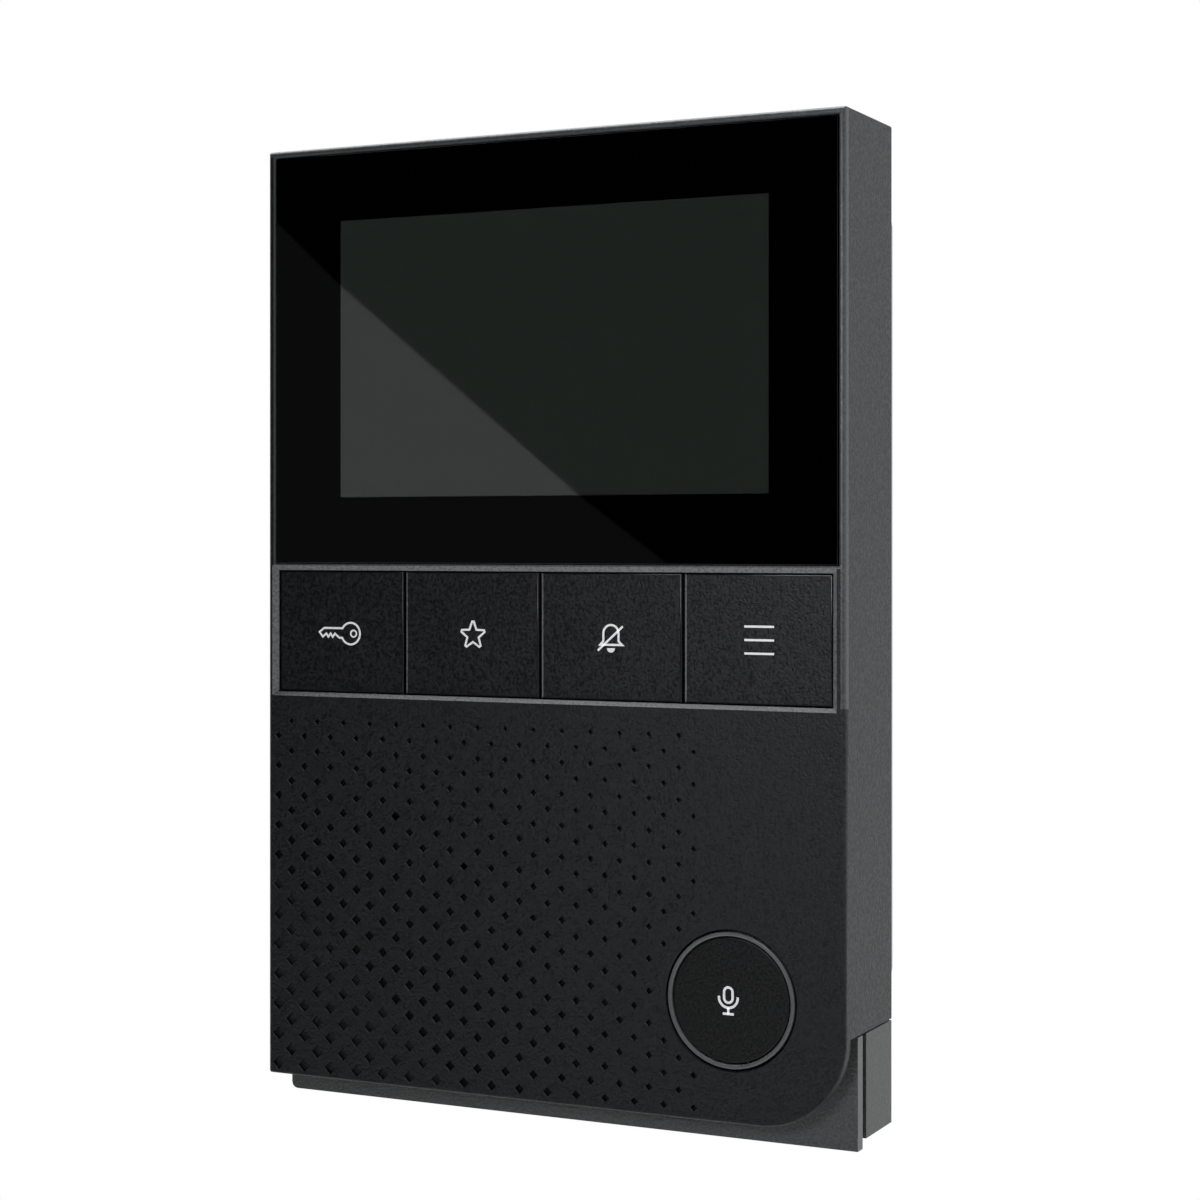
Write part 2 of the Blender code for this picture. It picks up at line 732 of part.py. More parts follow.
def make_switch(name, centre):
    x, z = centre
    half = SWITCH_SIDE / 2
    depth = (SWITCH_FRONT, SWITCH_BACK)
    body = box(f"switch_{name}", "black_plastic", around(x, half), depth, around(z, half))
    cut(body, disc_helper(centre, PLUNGER_BORE, (SWITCH_FRONT - PAST, BORE_BACK), segments=16))
    plunger_depth = (PLUNGER_FRONT, PLUNGER_BACK)
    disc(f"plunger_{name}", "connector_plastic", centre, PLUNGER_RADIUS, plunger_depth, 16)


def make_talk_button():
    cap_radius = RING_INNER - GAP
    profile = (
        (0.0, TALK_FACE),
        (cap_radius - 0.0003, TALK_FACE),
        (cap_radius, TALK_FACE + 0.0003),
        (cap_radius, PLATE_BACK + GAP),
        (TALK_FLANGE, PLATE_BACK + GAP),
        (TALK_FLANGE, 0.0030),
        (STEM_RADIUS, 0.0030),
        (STEM_RADIUS, STEM_BACK),
        (0.0, STEM_BACK),
    )
    turned("talk_button", "key_plastic", TALK_CENTRE, profile, steps=40)
    ring = (
        (RING_INNER, 0.0002),
        (RING_INNER + 0.0002, 0.0),
        (RING_OUTER - 0.0002, 0.0),
        (RING_OUTER, 0.0002),
        (RING_OUTER, PLATE_BACK),
        (RING_INNER, PLATE_BACK),
    )
    turned("talk_ring", "ring_plastic", TALK_CENTRE, ring, steps=40)
    make_switch("talk", TALK_CENTRE)


# ---------------------------------------------------------------- sound


def make_speaker():
    cloth_depth = (SKIN_BACK + GAP, CLOTH_BACK)
    disc("speaker_cloth", "acoustic_cloth", SPEAKER_CENTRE, CLOTH_RADIUS, cloth_depth, 32)
    gasket = (
        (0.0172, PLATE_BACK + GAP),
        (SPEAKER_RADIUS, PLATE_BACK + GAP),
        (SPEAKER_RADIUS, 0.0029),
        (0.0172, 0.0029),
    )
    turned("speaker_gasket", "foam", SPEAKER_CENTRE, gasket)
    basket = (
        (0.0170, 0.0032),
        (SPEAKER_RADIUS, 0.0032),
        (SPEAKER_RADIUS, 0.0044),
        (0.0178, 0.0044),
        (0.0178, 0.0062),
        (0.0110, 0.0108),
        (0.0100, 0.0108),
        (0.0100, 0.0101),
        (0.0170, 0.0056),
    )
    turned("speaker_basket", "tinned_metal", SPEAKER_CENTRE, basket)
    cone = (
        (0.0, 0.0062),
        (0.0045, 0.0068),
        (0.0060, 0.0070),
        (0.0140, 0.0042),
        (0.0152, 0.0038),
        (CONE_RADIUS, 0.0042),
        (CONE_RADIUS, 0.0046),
        (0.0145, 0.0046),
        (0.0062, 0.0078),
        (0.0062, 0.0096),
        (0.0054, 0.0096),
        (0.0054, 0.0074),
        (0.0, 0.0068),
    )
    turned("speaker_cone", "paper_cone", SPEAKER_CENTRE, cone)
    magnet = (
        (0.0, 0.0100),
        (0.0046, 0.0100),
        (0.0046, 0.0112),
        (0.0095, 0.0112),
        (0.0095, 0.0155),
        (0.0088, 0.0160),
        (0.0, 0.0160),
    )
    turned("speaker_magnet", "magnet", SPEAKER_CENTRE, magnet)
    make_speaker_wires()


def make_speaker_wires():
    connector_x = (0.0035, 0.0095)
    connector_z = (-0.0440, -0.0394)
    connector_depth = (PART_FRONT, 0.0148)
    box("speaker_connector", "connector_plastic", connector_x, connector_depth, connector_z)
    start_y = at_depth(0.0132)
    end_y = at_depth(0.0126)
    for side, name in ((-1, "black"), (1, "red")):
        start = (SPEAKER_CENTRE[0] + 0.0103, start_y, SPEAKER_CENTRE[1] + 0.0014 * side)
        end = (connector_x[0] - GAP, end_y, sum(connector_z) / 2 + 0.0012 * side)
        start_pull = (start[0] + 0.0080, start_y + 0.0012, start[2] - 0.0030)
        end_pull = (end[0] - 0.0070, end_y + 0.0010, end[2] + 0.0010)
        points = bezier_points(start, start_pull, end_pull, end, 12)
        tube(f"speaker_wire_{name}", f"{name}_insulation", points, 0.00055)


def make_microphone():
    centre = hole_place(MICROPHONE_COLUMN, MICROPHONE_ROW)
    front = PLATE_BACK + GAP
    back = FRAME_FRONT - GAP
    boot = (
        (0.0006, front),
        (0.0042, front),
        (0.0042, back),
        (0.0033, back),
        (0.0033, front + 0.0006),
        (0.0006, front + 0.0006),
    )
    turned("microphone_boot", "rubber", centre, boot, steps=16)
    disc("microphone", "tinned_metal", centre, 0.0030, (front + 0.0009, back), 16)


# ---------------------------------------------------------------- circuit board


def make_main_board():
    depth = (BOARD_FRONT, BOARD_BACK)
    z = (BOARD_BOTTOM, BOARD_TOP)
    board = box("main_board", "circuit_board", around(0, BOARD_HALF), depth, z)
    through = (BOARD_FRONT - PAST, BOARD_BACK + PAST)
    cut(board, disc_helper(SPEAKER_CENTRE, SPEAKER_OPENING, through, segments=32))
    for place in BOARD_SCREWS:
        cut(board, disc_helper(place, 0.0011, through, segments=8))


def make_sockets():
    socket_x = (0.0040, 0.0202)
    socket_depth = (PART_FRONT, 0.0219)
    socket_z = (0.0200, 0.0380)
    socket = box("lan_socket", "tinned_metal", socket_x, socket_depth, socket_z)
    x = sum(socket_x) / 2
    mouth = (PART_FRONT + 0.0014, PART_FRONT + 0.0098)
    mouth_z = (socket_z[0] - PAST, socket_z[0] + 0.0130)
    cut(socket, box_helper(around(x, 0.00585), mouth, mouth_z))
    latch_depth = (mouth[1] - 0.0002, mouth[1] + 0.0009)
    cut(socket, box_helper(around(x, 0.0020), latch_depth, mouth_z))
    make_terminals()


def make_terminals():
    pitch = 0.00508
    poles = 4
    left = -0.0270
    top = 0.0330
    bottom = 0.0225
    body_back = 0.0194
    body_x = (left, left + poles * pitch)
    depth = (PART_FRONT, body_back)
    block = box("terminal_block", "terminal_plastic", body_x, depth, (bottom, top))
    screw_z = top - 0.0036
    for index in range(poles):
        centre = (left + (index + 0.5) * pitch, screw_z)
        cut(block, disc_helper(centre, 0.0021, (body_back - 0.0030, body_back + PAST), 12))
        entry_depth = (PART_FRONT + 0.0012, PART_FRONT + 0.0042)
        entry_x = around(centre[0], 0.0016)
        cut(block, box_helper(entry_x, entry_depth, (bottom - PAST, bottom + 0.0050)))
        head = (body_back - 0.0027, body_back - 0.0010)
        screw = disc(f"terminal_screw_{index + 1}", "steel", centre, 0.0018, head, 12)
        slot_depth = (head[1] - 0.0006, head[1] + PAST)
        cut(screw, box_helper(around(centre[0], 0.0025), slot_depth, around(centre[1], 0.0003)))


def make_electronics():
    shield_depth = (PART_FRONT, 0.0130)
    shield_x = (-0.0180, 0.0160)
    bm, centre = rounded_form(shield_x, shield_depth, (-0.0290, -0.0050), 0.001, segments=2)
    part("processor_shield", mesh_from(bm), "tinned_metal", centre)
    transformer_z = (0.0230, 0.0350)
    transformer_depth = (PART_FRONT, 0.0186)
    box("network_transformer", "black_plastic", (0.0240, 0.0380), transformer_depth, transformer_z)
    bm, centre = rounded_form((0.0060, 0.0140), (PART_FRONT, 0.0144), (0.0540, 0.0620), 0.0015)
    part("inductor", mesh_from(bm), "black_plastic", centre)
    for number, x in ((1, -0.0200), (2, -0.0090)):
        profile = (
            (0.0, PART_FRONT),
            (0.0040, PART_FRONT),
            (0.0040, PART_FRONT + 0.0008),
            (0.0037, PART_FRONT + 0.0012),
            (0.0040, PART_FRONT + 0.0016),
            (0.0040, 0.0202),
            (0.0037, 0.0205),
            (0.0, 0.0205),
        )
        turned(f"capacitor_{number}", "capacitor_sleeve", (x, 0.0580), profile, steps=16)


def make_screws():
    """Round-headed screws that go in from the back."""
    for number, place in enumerate(CASE_SCREWS, start=1):
        profile = (
            (0.0, 0.0050),
            (0.0009, 0.0050),
            (0.00125, 0.0058),
            (0.00125, HEAD_SEAT + GAP),
            (0.0023, HEAD_SEAT + GAP),
            (0.0023, HEAD_SEAT + 0.0015),
            (0.0016, HEAD_SEAT + 0.0021),
            (0.0, HEAD_SEAT + 0.0021),
        )
        turned(f"housing_screw_{number}", "steel", place, profile, steps=12)
    for number, place in enumerate(BOARD_SCREWS, start=1):
        profile = (
            (0.0, 0.0064),
            (0.0008, 0.0064),
            (0.0008, PART_FRONT),
            (0.0019, PART_FRONT),
            (0.0019, PART_FRONT + 0.0008),
            (0.0012, PART_FRONT + 0.0013),
            (0.0, PART_FRONT + 0.0013),
        )
        turned(f"board_screw_{number}", "steel", place, profile, steps=12)


make_front_cover()
make_glass()
make_display()
make_keys()
make_key_guide()
make_talk_button()
make_mid_frame()
make_main_board()
make_speaker()
make_microphone()
make_sockets()
make_electronics()
make_rear_housing()
make_wall_plate()
make_screws()
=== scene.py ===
"""Looks of a wall-mounted video intercom monitor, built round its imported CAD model.

Metres, +Z up. The wall is the plane y = 0 and the front faces -Y. Pieces that the CAD model
shows too plainly are built again here, in the same place, with rounded edges, sound-hole
pockets, symbols and a finish; the others keep their shape and get a finish.
"""

import json
import math

import bmesh
import bpy
from mathutils import Matrix, Vector


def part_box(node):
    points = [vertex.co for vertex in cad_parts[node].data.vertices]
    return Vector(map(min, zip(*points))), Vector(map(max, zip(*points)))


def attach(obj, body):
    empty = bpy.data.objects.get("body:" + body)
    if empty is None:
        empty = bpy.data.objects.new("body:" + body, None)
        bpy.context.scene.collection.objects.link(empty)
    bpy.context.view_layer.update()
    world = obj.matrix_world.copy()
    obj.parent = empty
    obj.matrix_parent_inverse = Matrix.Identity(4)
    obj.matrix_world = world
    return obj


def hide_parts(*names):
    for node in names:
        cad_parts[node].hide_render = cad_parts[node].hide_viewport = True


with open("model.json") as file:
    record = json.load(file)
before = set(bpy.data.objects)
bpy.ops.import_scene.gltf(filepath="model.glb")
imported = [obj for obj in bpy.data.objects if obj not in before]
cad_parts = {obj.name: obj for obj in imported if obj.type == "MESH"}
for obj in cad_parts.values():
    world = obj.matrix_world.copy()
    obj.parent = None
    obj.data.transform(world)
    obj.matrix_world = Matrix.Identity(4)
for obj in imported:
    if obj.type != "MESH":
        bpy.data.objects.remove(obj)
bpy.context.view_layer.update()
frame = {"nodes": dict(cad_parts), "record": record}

# ---------------------------------------------------------------- places from the CAD model


def middle_of(low, high):
    """(x, z) middle of a box."""
    return ((low.x + high.x) / 2, (low.z + high.z) / 2)


COVER_LOW, COVER_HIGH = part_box("front_cover")
GLASS_LOW, GLASS_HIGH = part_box("cover_glass")
RING_LOW, RING_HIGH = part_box("talk_ring")
CAP_LOW, CAP_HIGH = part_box("talk_button")
PANEL_LOW, PANEL_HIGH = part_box("lcd_panel")
CLOTH_LOW, CLOTH_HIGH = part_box("speaker_cloth")
CONE_LOW, CONE_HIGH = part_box("speaker_cone")

FRONT = COVER_LOW.y
HALF = COVER_HIGH.x
TALK_CENTRE = middle_of(RING_LOW, RING_HIGH)
RING_OUTER = (RING_HIGH.x - RING_LOW.x) / 2
SPEAKER_CENTRE = middle_of(CONE_LOW, CONE_HIGH)
CONE_RADIUS = (CONE_HIGH.x - CONE_LOW.x) / 2
CLOTH_RADIUS = (CLOTH_HIGH.x - CLOTH_LOW.x) / 2
CLOTH_BACK = CLOTH_HIGH.y - FRONT
MICROPHONE = middle_of(*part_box("microphone_boot"))

GAP = 0.0003  # what the CAD model leaves between touching pieces
PAST = 0.002  # how far a cutter runs past the wall that it cuts
OVERLAP = 0.0005  # how far joined shapes run into each other

# ---------------------------------------------------------------- measures

# Front cover. The long front edges are rounded more at the top and on the right.
PLATE_THICKNESS = 0.0020
PLATE_CORNER = 0.0160
SMALL_CORNER = 0.0005
WALL = 0.0012
SIDE_CUT = -0.0697  # the right wall ends at this height
LEDGE_BACK = 0.0028
LEDGE_INSET = 0.0002
RIM_SMALL = 0.00045
RIM_TOP = 0.00090
RIM_RIGHT = 0.00108
# How far in from the sides and the top the painted rim highlight reaches
RIM_HIGHLIGHT_WIDTH = 0.0014
GLASS_CHAMFER = 0.00035
GLASS_BEVEL = 0.00018
CELL_MARGIN = 0.0030  # the display cell reaches this far past the picture
SCREEN_MARGIN = 0.001  # and the cover's opening this far
MICROPHONE_BORE = 0.00025  # its radius

# Key window: the keys fill it but for a gap
KEYS = ("door", "favourite", "mute", "menu")
KEY_BOXES = {name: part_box(f"key_{name}") for name in KEYS}
FLANGE_REACH = 0.0009
FLANGE_DEPTH = (0.0031, 0.0038)
FLANGE_OVERLAP = 0.0002
STEM_RADIUS = 0.0018
WINDOW_X = (KEY_BOXES["door"][0].x - GAP, KEY_BOXES["menu"][1].x + GAP)
WINDOW_Z = (
    KEY_BOXES["door"][0].z + FLANGE_REACH - GAP,
    KEY_BOXES["door"][1].z - FLANGE_REACH + GAP,
)
WINDOW_CHAMFER = 0.00095
WINDOW_CHAMFER_LOW = 0.00072
KEY_GROWTH = 0.00016  # closes part of the CAD model's gap between the keys and their window
KEY_BEVEL = 0.00032
KEY_BEVEL_LEFT = 0.00050

# Talk button
RING_WIDTH = 0.0008
RING_BACK = 0.0020
CAP_CLEARANCE = 0.00018
CAP_FLANGE_RADIUS = 0.0129
CAP_FLANGE_DEPTH = (0.0023, 0.0030)
ROUNDING = 0.0003  # front edges of the cap and its ring
TALK_HOLE_GAP = 0.00035
TALK_HOLE_FLARE = 0.0004

# Perforated field: staggered columns, square pockets set on their corners, larger towards
# the lower left. Those in front of the loudspeaker go right through to its cloth. The others
# are blind, and the largest of them are shallower.
HOLE_COLUMN = 0.00287
HOLE_ROW = 0.00283
HOLE_START = (-0.0562, -0.0186)
HOLE_COLUMNS = 31
HOLE_ROWS = 24
HOLE_SMALL = 0.0009
HOLE_GROWTH_DOWN = 0.00028
HOLE_GROWTH_LEFT = 0.00025
HOLE_GROWTH_CORNER = 0.00115
HOLE_GROWTH_POWER = 0.55
TALK_CLEARANCE = 0.0022
POCKET_FLARE = 0.00016
POCKET_DEPTH = 0.0009
POCKET_SHALLOW = 0.0006
SHALLOW_FROM = 0.0020  # diagonal from which a blind pocket is shallow
CLOSE = 0.00005  # nearer than this counts as the same depth

# Housing screws: a domed head with a cross recess
SCREW_HEAD = 0.0018
SCREW_HEAD_EDGE = 0.0004
SCREW_SHANK_RADIUS = 0.00125
SCREW_TIP_RADIUS = 0.0009
SCREW_TIP_LENGTH = 0.0008
RECESS_DEPTH = 0.0009
RECESS_REACH = 0.0014
RECESS_BLADE = 0.00032

# Network socket's contacts: sloping strips, seen through its mouth
CONTACTS = 8
CONTACT_PITCH = 0.00102
CONTACT_HALF = 0.00018
CONTACT_THICKNESS = 0.0003
CONTACT_INSET = 0.0015
CONTACT_SPAN = (0.0012, 0.0125)
CONTACT_SLOPE = 0.0022


# ---------------------------------------------------------------- node helpers


def add(tree, kind, settings=None, **inputs):
    """A new node. Inputs are named by position (i0, i1, ...) or by name with _ for a space."""
    made = tree.nodes.new(kind)
    for key, value in (settings or {}).items():
        setattr(made, key, value)
    for key, value in inputs.items():
        by_position = key[1:].isdigit()
        socket = made.inputs[int(key[1:]) if by_position else key.replace("_", " ")]
        if isinstance(value, bpy.types.NodeSocket):
            tree.links.new(value, socket)
        else:
            socket.default_value = value
    return made


def grey(value):
    return (value, value, value, 1.0)


def shade(colour, factor):
    return (*(min(channel * factor, 1.0) for channel in colour), 1.0)


def noise(tree, place, scale, detail=2.0, roughness=0.5):
    return add(
        tree, "ShaderNodeTexNoise", Vector=place, Scale=scale, Detail=detail, Roughness=roughness
    ).outputs["Fac"]


def remap(tree, value, low, high, to_low, to_high):
    made = add(tree, "ShaderNodeMapRange", i0=value, i1=low, i2=high, i3=to_low, i4=to_high)
    return made.outputs["Result"]


def math_node(tree, operation, first, second):
    return add(tree, "ShaderNodeMath", {"operation": operation}, i0=first, i1=second).outputs[0]


def mix_colours(tree, factor, first, second):
    made = add(tree, "ShaderNodeMix", {"data_type": "RGBA"})
    for socket, value in (("Factor_Float", factor), ("A_Color", first), ("B_Color", second)):
        found = next(s for s in made.inputs if s.identifier == socket)
        if isinstance(value, bpy.types.NodeSocket):
            tree.links.new(value, found)
        else:
            found.default_value = value
    return next(s for s in made.outputs if s.identifier == "Result_Color")


def new_material(name):
    """(material, tree, Principled BSDF, object coordinates in metres)."""
    material = bpy.data.materials.new(name)
    material.use_nodes = True
    tree = material.node_tree
    shader = tree.nodes["Principled BSDF"]
    place = add(tree, "ShaderNodeTexCoord").outputs["Object"]
    return material, tree, shader, place


def bump(tree, shader, height, strength, distance):
    made = add(tree, "ShaderNodeBump", Height=height, Strength=strength, Distance=distance)
    tree.links.new(made.outputs["Normal"], shader.inputs["Normal"])


# ---------------------------------------------------------------- materials


def moulded(
    name, colour, roughness, grain=0.0005, relief=0.8, depth=0.0002, tint=0.10, speck=1.9
):
    """Spark-eroded moulded plastic: a fine pebbled grain whose tops are lighter by the speck
    factor, with slow changes of tone and gloss."""
    material, tree, shader, place = new_material(name)
    slow = noise(tree, place, 28.0, 3.0)
    fine = noise(tree, place, 1.0 / grain, 2.0, 0.6)
    tone = mix_colours(tree, slow, shade(colour, 1 - tint), shade(colour, 1 + tint))
    specks = remap(tree, fine, 0.35, 0.65, 0.0, 0.6)
    speckled = mix_colours(tree, specks, tone, shade(colour, speck))
    tree.links.new(speckled, shader.inputs["Base Color"])
    gloss = math_node(tree, "MULTIPLY", remap(tree, fine, 0.4, 0.6, 0.80, 1.24), roughness)
    tree.links.new(gloss, shader.inputs["Roughness"])
    bump(tree, shader, fine, relief, depth)
    return material


def glowing(name, colour, roughness, strength):
    """A translucent white symbol, lit faintly from behind."""
    material = moulded(name, colour, roughness, relief=0.10, tint=0.03)
    shader = material.node_tree.nodes["Principled BSDF"]
    shader.inputs["Emission Color"].default_value = shade(colour, 1.0)
    shader.inputs["Emission Strength"].default_value = strength
    return material


def polished(name, colour, roughness, ior=1.5, tint=0.15):
    """A smooth, glossy surface with a faint haze that comes and goes."""
    material, tree, shader, place = new_material(name)
    slow = noise(tree, place, 40.0, 3.0)
    tone = mix_colours(tree, slow, shade(colour, 1 - tint), shade(colour, 1 + tint))
    tree.links.new(tone, shader.inputs["Base Color"])
    haze = remap(tree, noise(tree, place, 160.0, 4.0), 0.3, 0.7, roughness * 0.7, roughness * 1.3)
    tree.links.new(haze, shader.inputs["Roughness"])
    shader.inputs["IOR"].default_value = ior
    return material


def rolled_metal(name, colour, roughness):
    """Sheet or turned metal with fine drawn lines."""
    material, tree, shader, place = new_material(name)
    stretched = add(tree, "ShaderNodeMapping", Vector=place)
    stretched.inputs["Scale"].default_value = (900.0, 60.0, 900.0)
    lines = noise(tree, stretched.outputs[0], 6.0, 4.0, 0.65)
    slow = noise(tree, place, 60.0, 3.0)
    tone = mix_colours(tree, slow, shade(colour, 0.86), shade(colour, 1.06))
    tree.links.new(tone, shader.inputs["Base Color"])
    gloss = remap(tree, lines, 0.3, 0.7, roughness * 0.8, roughness * 1.25)
    tree.links.new(gloss, shader.inputs["Roughness"])
    shader.inputs["Metallic"].default_value = 1.0
    bump(tree, shader, lines, 0.15, 0.00002)
    return material


def circuit_board(name):
    """Green solder mask over copper tracks and ground fills, with a sprinkle of tinned pads."""
    material, tree, shader, place = new_material(name)
    square = {"distance": "CHEBYCHEV"}
    cells = add(tree, "ShaderNodeTexVoronoi", square, Vector=place, Scale=420.0)
    tracks = remap(tree, cells.outputs["Distance"], 0.40, 0.46, 0.0, 1.0)
    mask = mix_colours(tree, tracks, (0.008, 0.085, 0.034, 1.0), (0.014, 0.150, 0.060, 1.0))
    pads = add(tree, "ShaderNodeTexVoronoi", square, Vector=place, Scale=230.0)
    pad = math_node(tree, "LESS_THAN", pads.outputs["Distance"], 0.12)
    board = mix_colours(tree, pad, mask, (0.55, 0.54, 0.50, 1.0))
    tree.links.new(board, shader.inputs["Base Color"])
    tree.links.new(pad, shader.inputs["Metallic"])
    gloss = remap(tree, noise(tree, place, 200.0), 0.3, 0.7, 0.30, 0.42)
    tree.links.new(gloss, shader.inputs["Roughness"])
    bump(tree, shader, tracks, 0.3, 0.00004)
    return material


MATERIALS = {
    "cover_plastic": moulded("cover_plastic", (0.0034, 0.0037, 0.0043), 0.50, speck=8.0),
    # Painted highlight: lighter plastic on the key window's slopes and on each key's left edge
    # beside another key.
    "window_edge": moulded("window_edge", (0.180, 0.184, 0.186), 0.30, relief=0.15),
    # Painted highlight: lighter plastic on the rim round the glass and on the pocket flares at
    # their lower left.
    "rim_edge": moulded("rim_edge", (0.066, 0.070, 0.071), 0.36, relief=0.3),
    "key_plastic": moulded("key_plastic", (0.0037, 0.0039, 0.0044), 0.42, relief=0.5, speck=8.0),
    "key_edge": polished("key_edge", (0.0100, 0.0105, 0.0115), 0.20),
    "talk_plastic": moulded("talk_plastic", (0.0040, 0.0042, 0.0046), 0.42, relief=0.3),
    "ring_plastic": polished("ring_plastic", (0.170, 0.175, 0.175), 0.30),
    "symbol_print": glowing("symbol_print", (0.80, 0.81, 0.81), 0.45, 0.35),
    "cover_glass": polished("cover_glass", (0.0006, 0.0007, 0.0008), 0.012, ior=1.42),
    "display": polished("display", (0.0700, 0.0860, 0.0760), 0.012, ior=3.1, tint=0.03),
    "light_guide": polished("light_guide", (0.80, 0.82, 0.84), 0.30),
    "foam": moulded("foam", (0.028, 0.028, 0.028), 0.92, grain=0.0004, relief=0.8, depth=0.0001),
    # Also painted on the pocket walls and the floors of the deep pockets, as painted shade.
    "acoustic_cloth": moulded("acoustic_cloth", (0.006, 0.006, 0.006), 0.85, grain=0.0002),
    "frame_plastic": moulded("frame_plastic", (0.086, 0.090, 0.090), 0.40),
    "housing_plastic": moulded("housing_plastic", (0.066, 0.070, 0.070), 0.55),
    "steel": rolled_metal("steel", (0.52, 0.53, 0.54), 0.38),
    "tinned_metal": rolled_metal("tinned_metal", (0.62, 0.62, 0.60), 0.28),
    "circuit_board": circuit_board("circuit_board"),
    "ribbon": polished("ribbon", (0.42, 0.18, 0.035), 0.35),
    "black_plastic": moulded("black_plastic", (0.018, 0.018, 0.019), 0.45),
    "terminal_plastic": moulded("terminal_plastic", (0.020, 0.190, 0.075), 0.42),
    "connector_plastic": moulded("connector_plastic", (0.72, 0.69, 0.60), 0.45, tint=0.05),
    "rubber": moulded("rubber", (0.018, 0.018, 0.018), 0.80, grain=0.0003),
    "paper_cone": moulded("paper_cone", (0.028, 0.028, 0.028), 0.88, grain=0.0006, relief=0.7),
    "magnet": rolled_metal("magnet", (0.22, 0.22, 0.23), 0.42),
    "gold": rolled_metal("gold", (0.80, 0.52, 0.16), 0.25),
    "capacitor_sleeve": polished("capacitor_sleeve", (0.020, 0.030, 0.090), 0.28),
    "red_insulation": polished("red_insulation", (0.46, 0.020, 0.018), 0.45),
    "black_insulation": polished("black_insulation", (0.010, 0.010, 0.010), 0.45),
}


# ---------------------------------------------------------------- mesh helpers


def at_depth(depth):
    """World y of a depth behind the front face."""
    return FRONT + depth


def new_object(name, bm):
    mesh = bpy.data.meshes.new(name)
    bm.to_mesh(mesh)
    bm.free()
    made = bpy.data.objects.new(name, mesh)
    bpy.context.scene.collection.objects.link(made)
    return made


def box_form(x, depth, z):
    """A box with these ranges; depth counts back from the front face."""
    bm = bmesh.new()
    low = Vector((x[0], at_depth(depth[0]), z[0]))
    high = Vector((x[1], at_depth(depth[1]), z[1]))
    size = Matrix.Diagonal((*(high - low), 1.0))
    bmesh.ops.create_cube(bm, size=1.0, matrix=Matrix.Translation((low + high) / 2) @ size)
    return bm


def around(centre, half):
    return (centre - half, centre + half)


def arc(centre, radius, start, end, count=24):
    """Points along an arc; angles in degrees."""
    points = []
    for index in range(count + 1):
        angle = math.radians(start + (end - start) * index / count)
        points.append((centre[0] + radius * math.cos(angle), centre[1] + radius * math.sin(angle)))
    return points


def edges_where(bm, test):
    """The edges whose two ends both pass, given as (first end, second end)."""
    return [edge for edge in bm.edges if test(*(vert.co for vert in edge.verts))]


def bevel(bm, edges, width, segments):
    bmesh.ops.bevel(bm, geom=edges, offset=width, segments=segments, profile=0.5, affect="EDGES")


def runs_back(a, b):
    """True for an edge that runs straight from front to back."""
    return abs(a.y - b.y) > 1e-6 and abs(a.x - b.x) < 1e-9 and abs(a.z - b.z) < 1e-9


def front_edges(bm):
    front = min(vert.co.y for vert in bm.verts)
    return edges_where(bm, lambda a, b: max(a.y, b.y) < front + 1e-7)


def rounded_front(name, bm, width_of):
    """An object with its front edges rounded, each by the width that its two ends give."""
    weights = bm.edges.layers.float.new("bevel_weight_edge")
    edges = front_edges(bm)
    widths = [width_of(*(vert.co for vert in edge.verts)) for edge in edges]
    for edge, width in zip(edges, widths):
        edge[weights] = width / max(widths)
    made = new_object(name, bm)
    rounding = made.modifiers.new("rounding", "BEVEL")
    rounding.width = max(widths)
    rounding.segments = 4
    rounding.limit_method = "WEIGHT"
    apply_modifiers(made)
    return made


def taper_back(bm, amount):
    """Makes a box's back face smaller by this much on every side."""
    back = max(vert.co.y for vert in bm.verts)
    middle = sum((vert.co for vert in bm.verts), Vector()) / len(bm.verts)
    for vert in bm.verts:
        if vert.co.y > back - 1e-7:
            vert.co.x -= math.copysign(amount, vert.co.x - middle.x)
            vert.co.z -= math.copysign(amount, vert.co.z - middle.z)
    return bm


def disc_form(centre, radius, depth, segments=64):
    bm = bmesh.new()
    place = Matrix.Translation((centre[0], at_depth(sum(depth) / 2), centre[1]))
    bmesh.ops.create_cone(
        bm,
        cap_ends=True,
        segments=segments,
        radius1=radius,
        radius2=radius,
        depth=depth[1] - depth[0],
        matrix=place @ Matrix.Rotation(math.pi / 2, 4, "X"),
    )
    return bm


def turned_form(centre, profile, steps=96):
    """A piece turned about an axis that runs front to back. The profile lists (radius, depth)
    from the front out to the rim and back; a profile off the axis is closed."""
    bm = bmesh.new()
    rings = []
    for radius, depth in profile:
        if radius == 0:
            rings.append([bm.verts.new((centre[0], at_depth(depth), centre[1]))] * steps)
            continue
        angles = (2 * math.pi * step / steps for step in range(steps))
        rings.append([
            bm.verts.new((
                centre[0] + radius * math.cos(angle),
                at_depth(depth),
                centre[1] + radius * math.sin(angle),
            ))
            for angle in angles
        ])
    if profile[0][0] > 0:
        rings.append(rings[0])
    for first, second in zip(rings, rings[1:]):
        for step in range(steps):
            after = (step + 1) % steps
            corners = [first[step], first[after], second[after], second[step]]
            unique = list(dict.fromkeys(corners))
            if len(unique) > 2:
                bm.faces.new(unique)
    bmesh.ops.recalc_face_normals(bm, faces=bm.faces)
    return bm


def cut(target, *forms):
    """Cuts these shapes out of an object, one after the other."""
    combine(target, "DIFFERENCE", forms)


def join(target, *forms):
    combine(target, "UNION", forms)


def combine(target, operation, forms):
    for form in forms:
        tool = new_object("tool", form)
        modifier = target.modifiers.new("combine", "BOOLEAN")
        modifier.operation = operation
        modifier.solver = "EXACT"
        modifier.object = tool
        apply_modifiers(target)
        bpy.data.objects.remove(tool)


def apply_modifiers(target):
    bpy.context.view_layer.update()
    evaluated = target.evaluated_get(bpy.context.evaluated_depsgraph_get())
    old = target.data
    target.data = bpy.data.meshes.new_from_object(evaluated)
    target.modifiers.clear()
    bpy.data.meshes.remove(old)


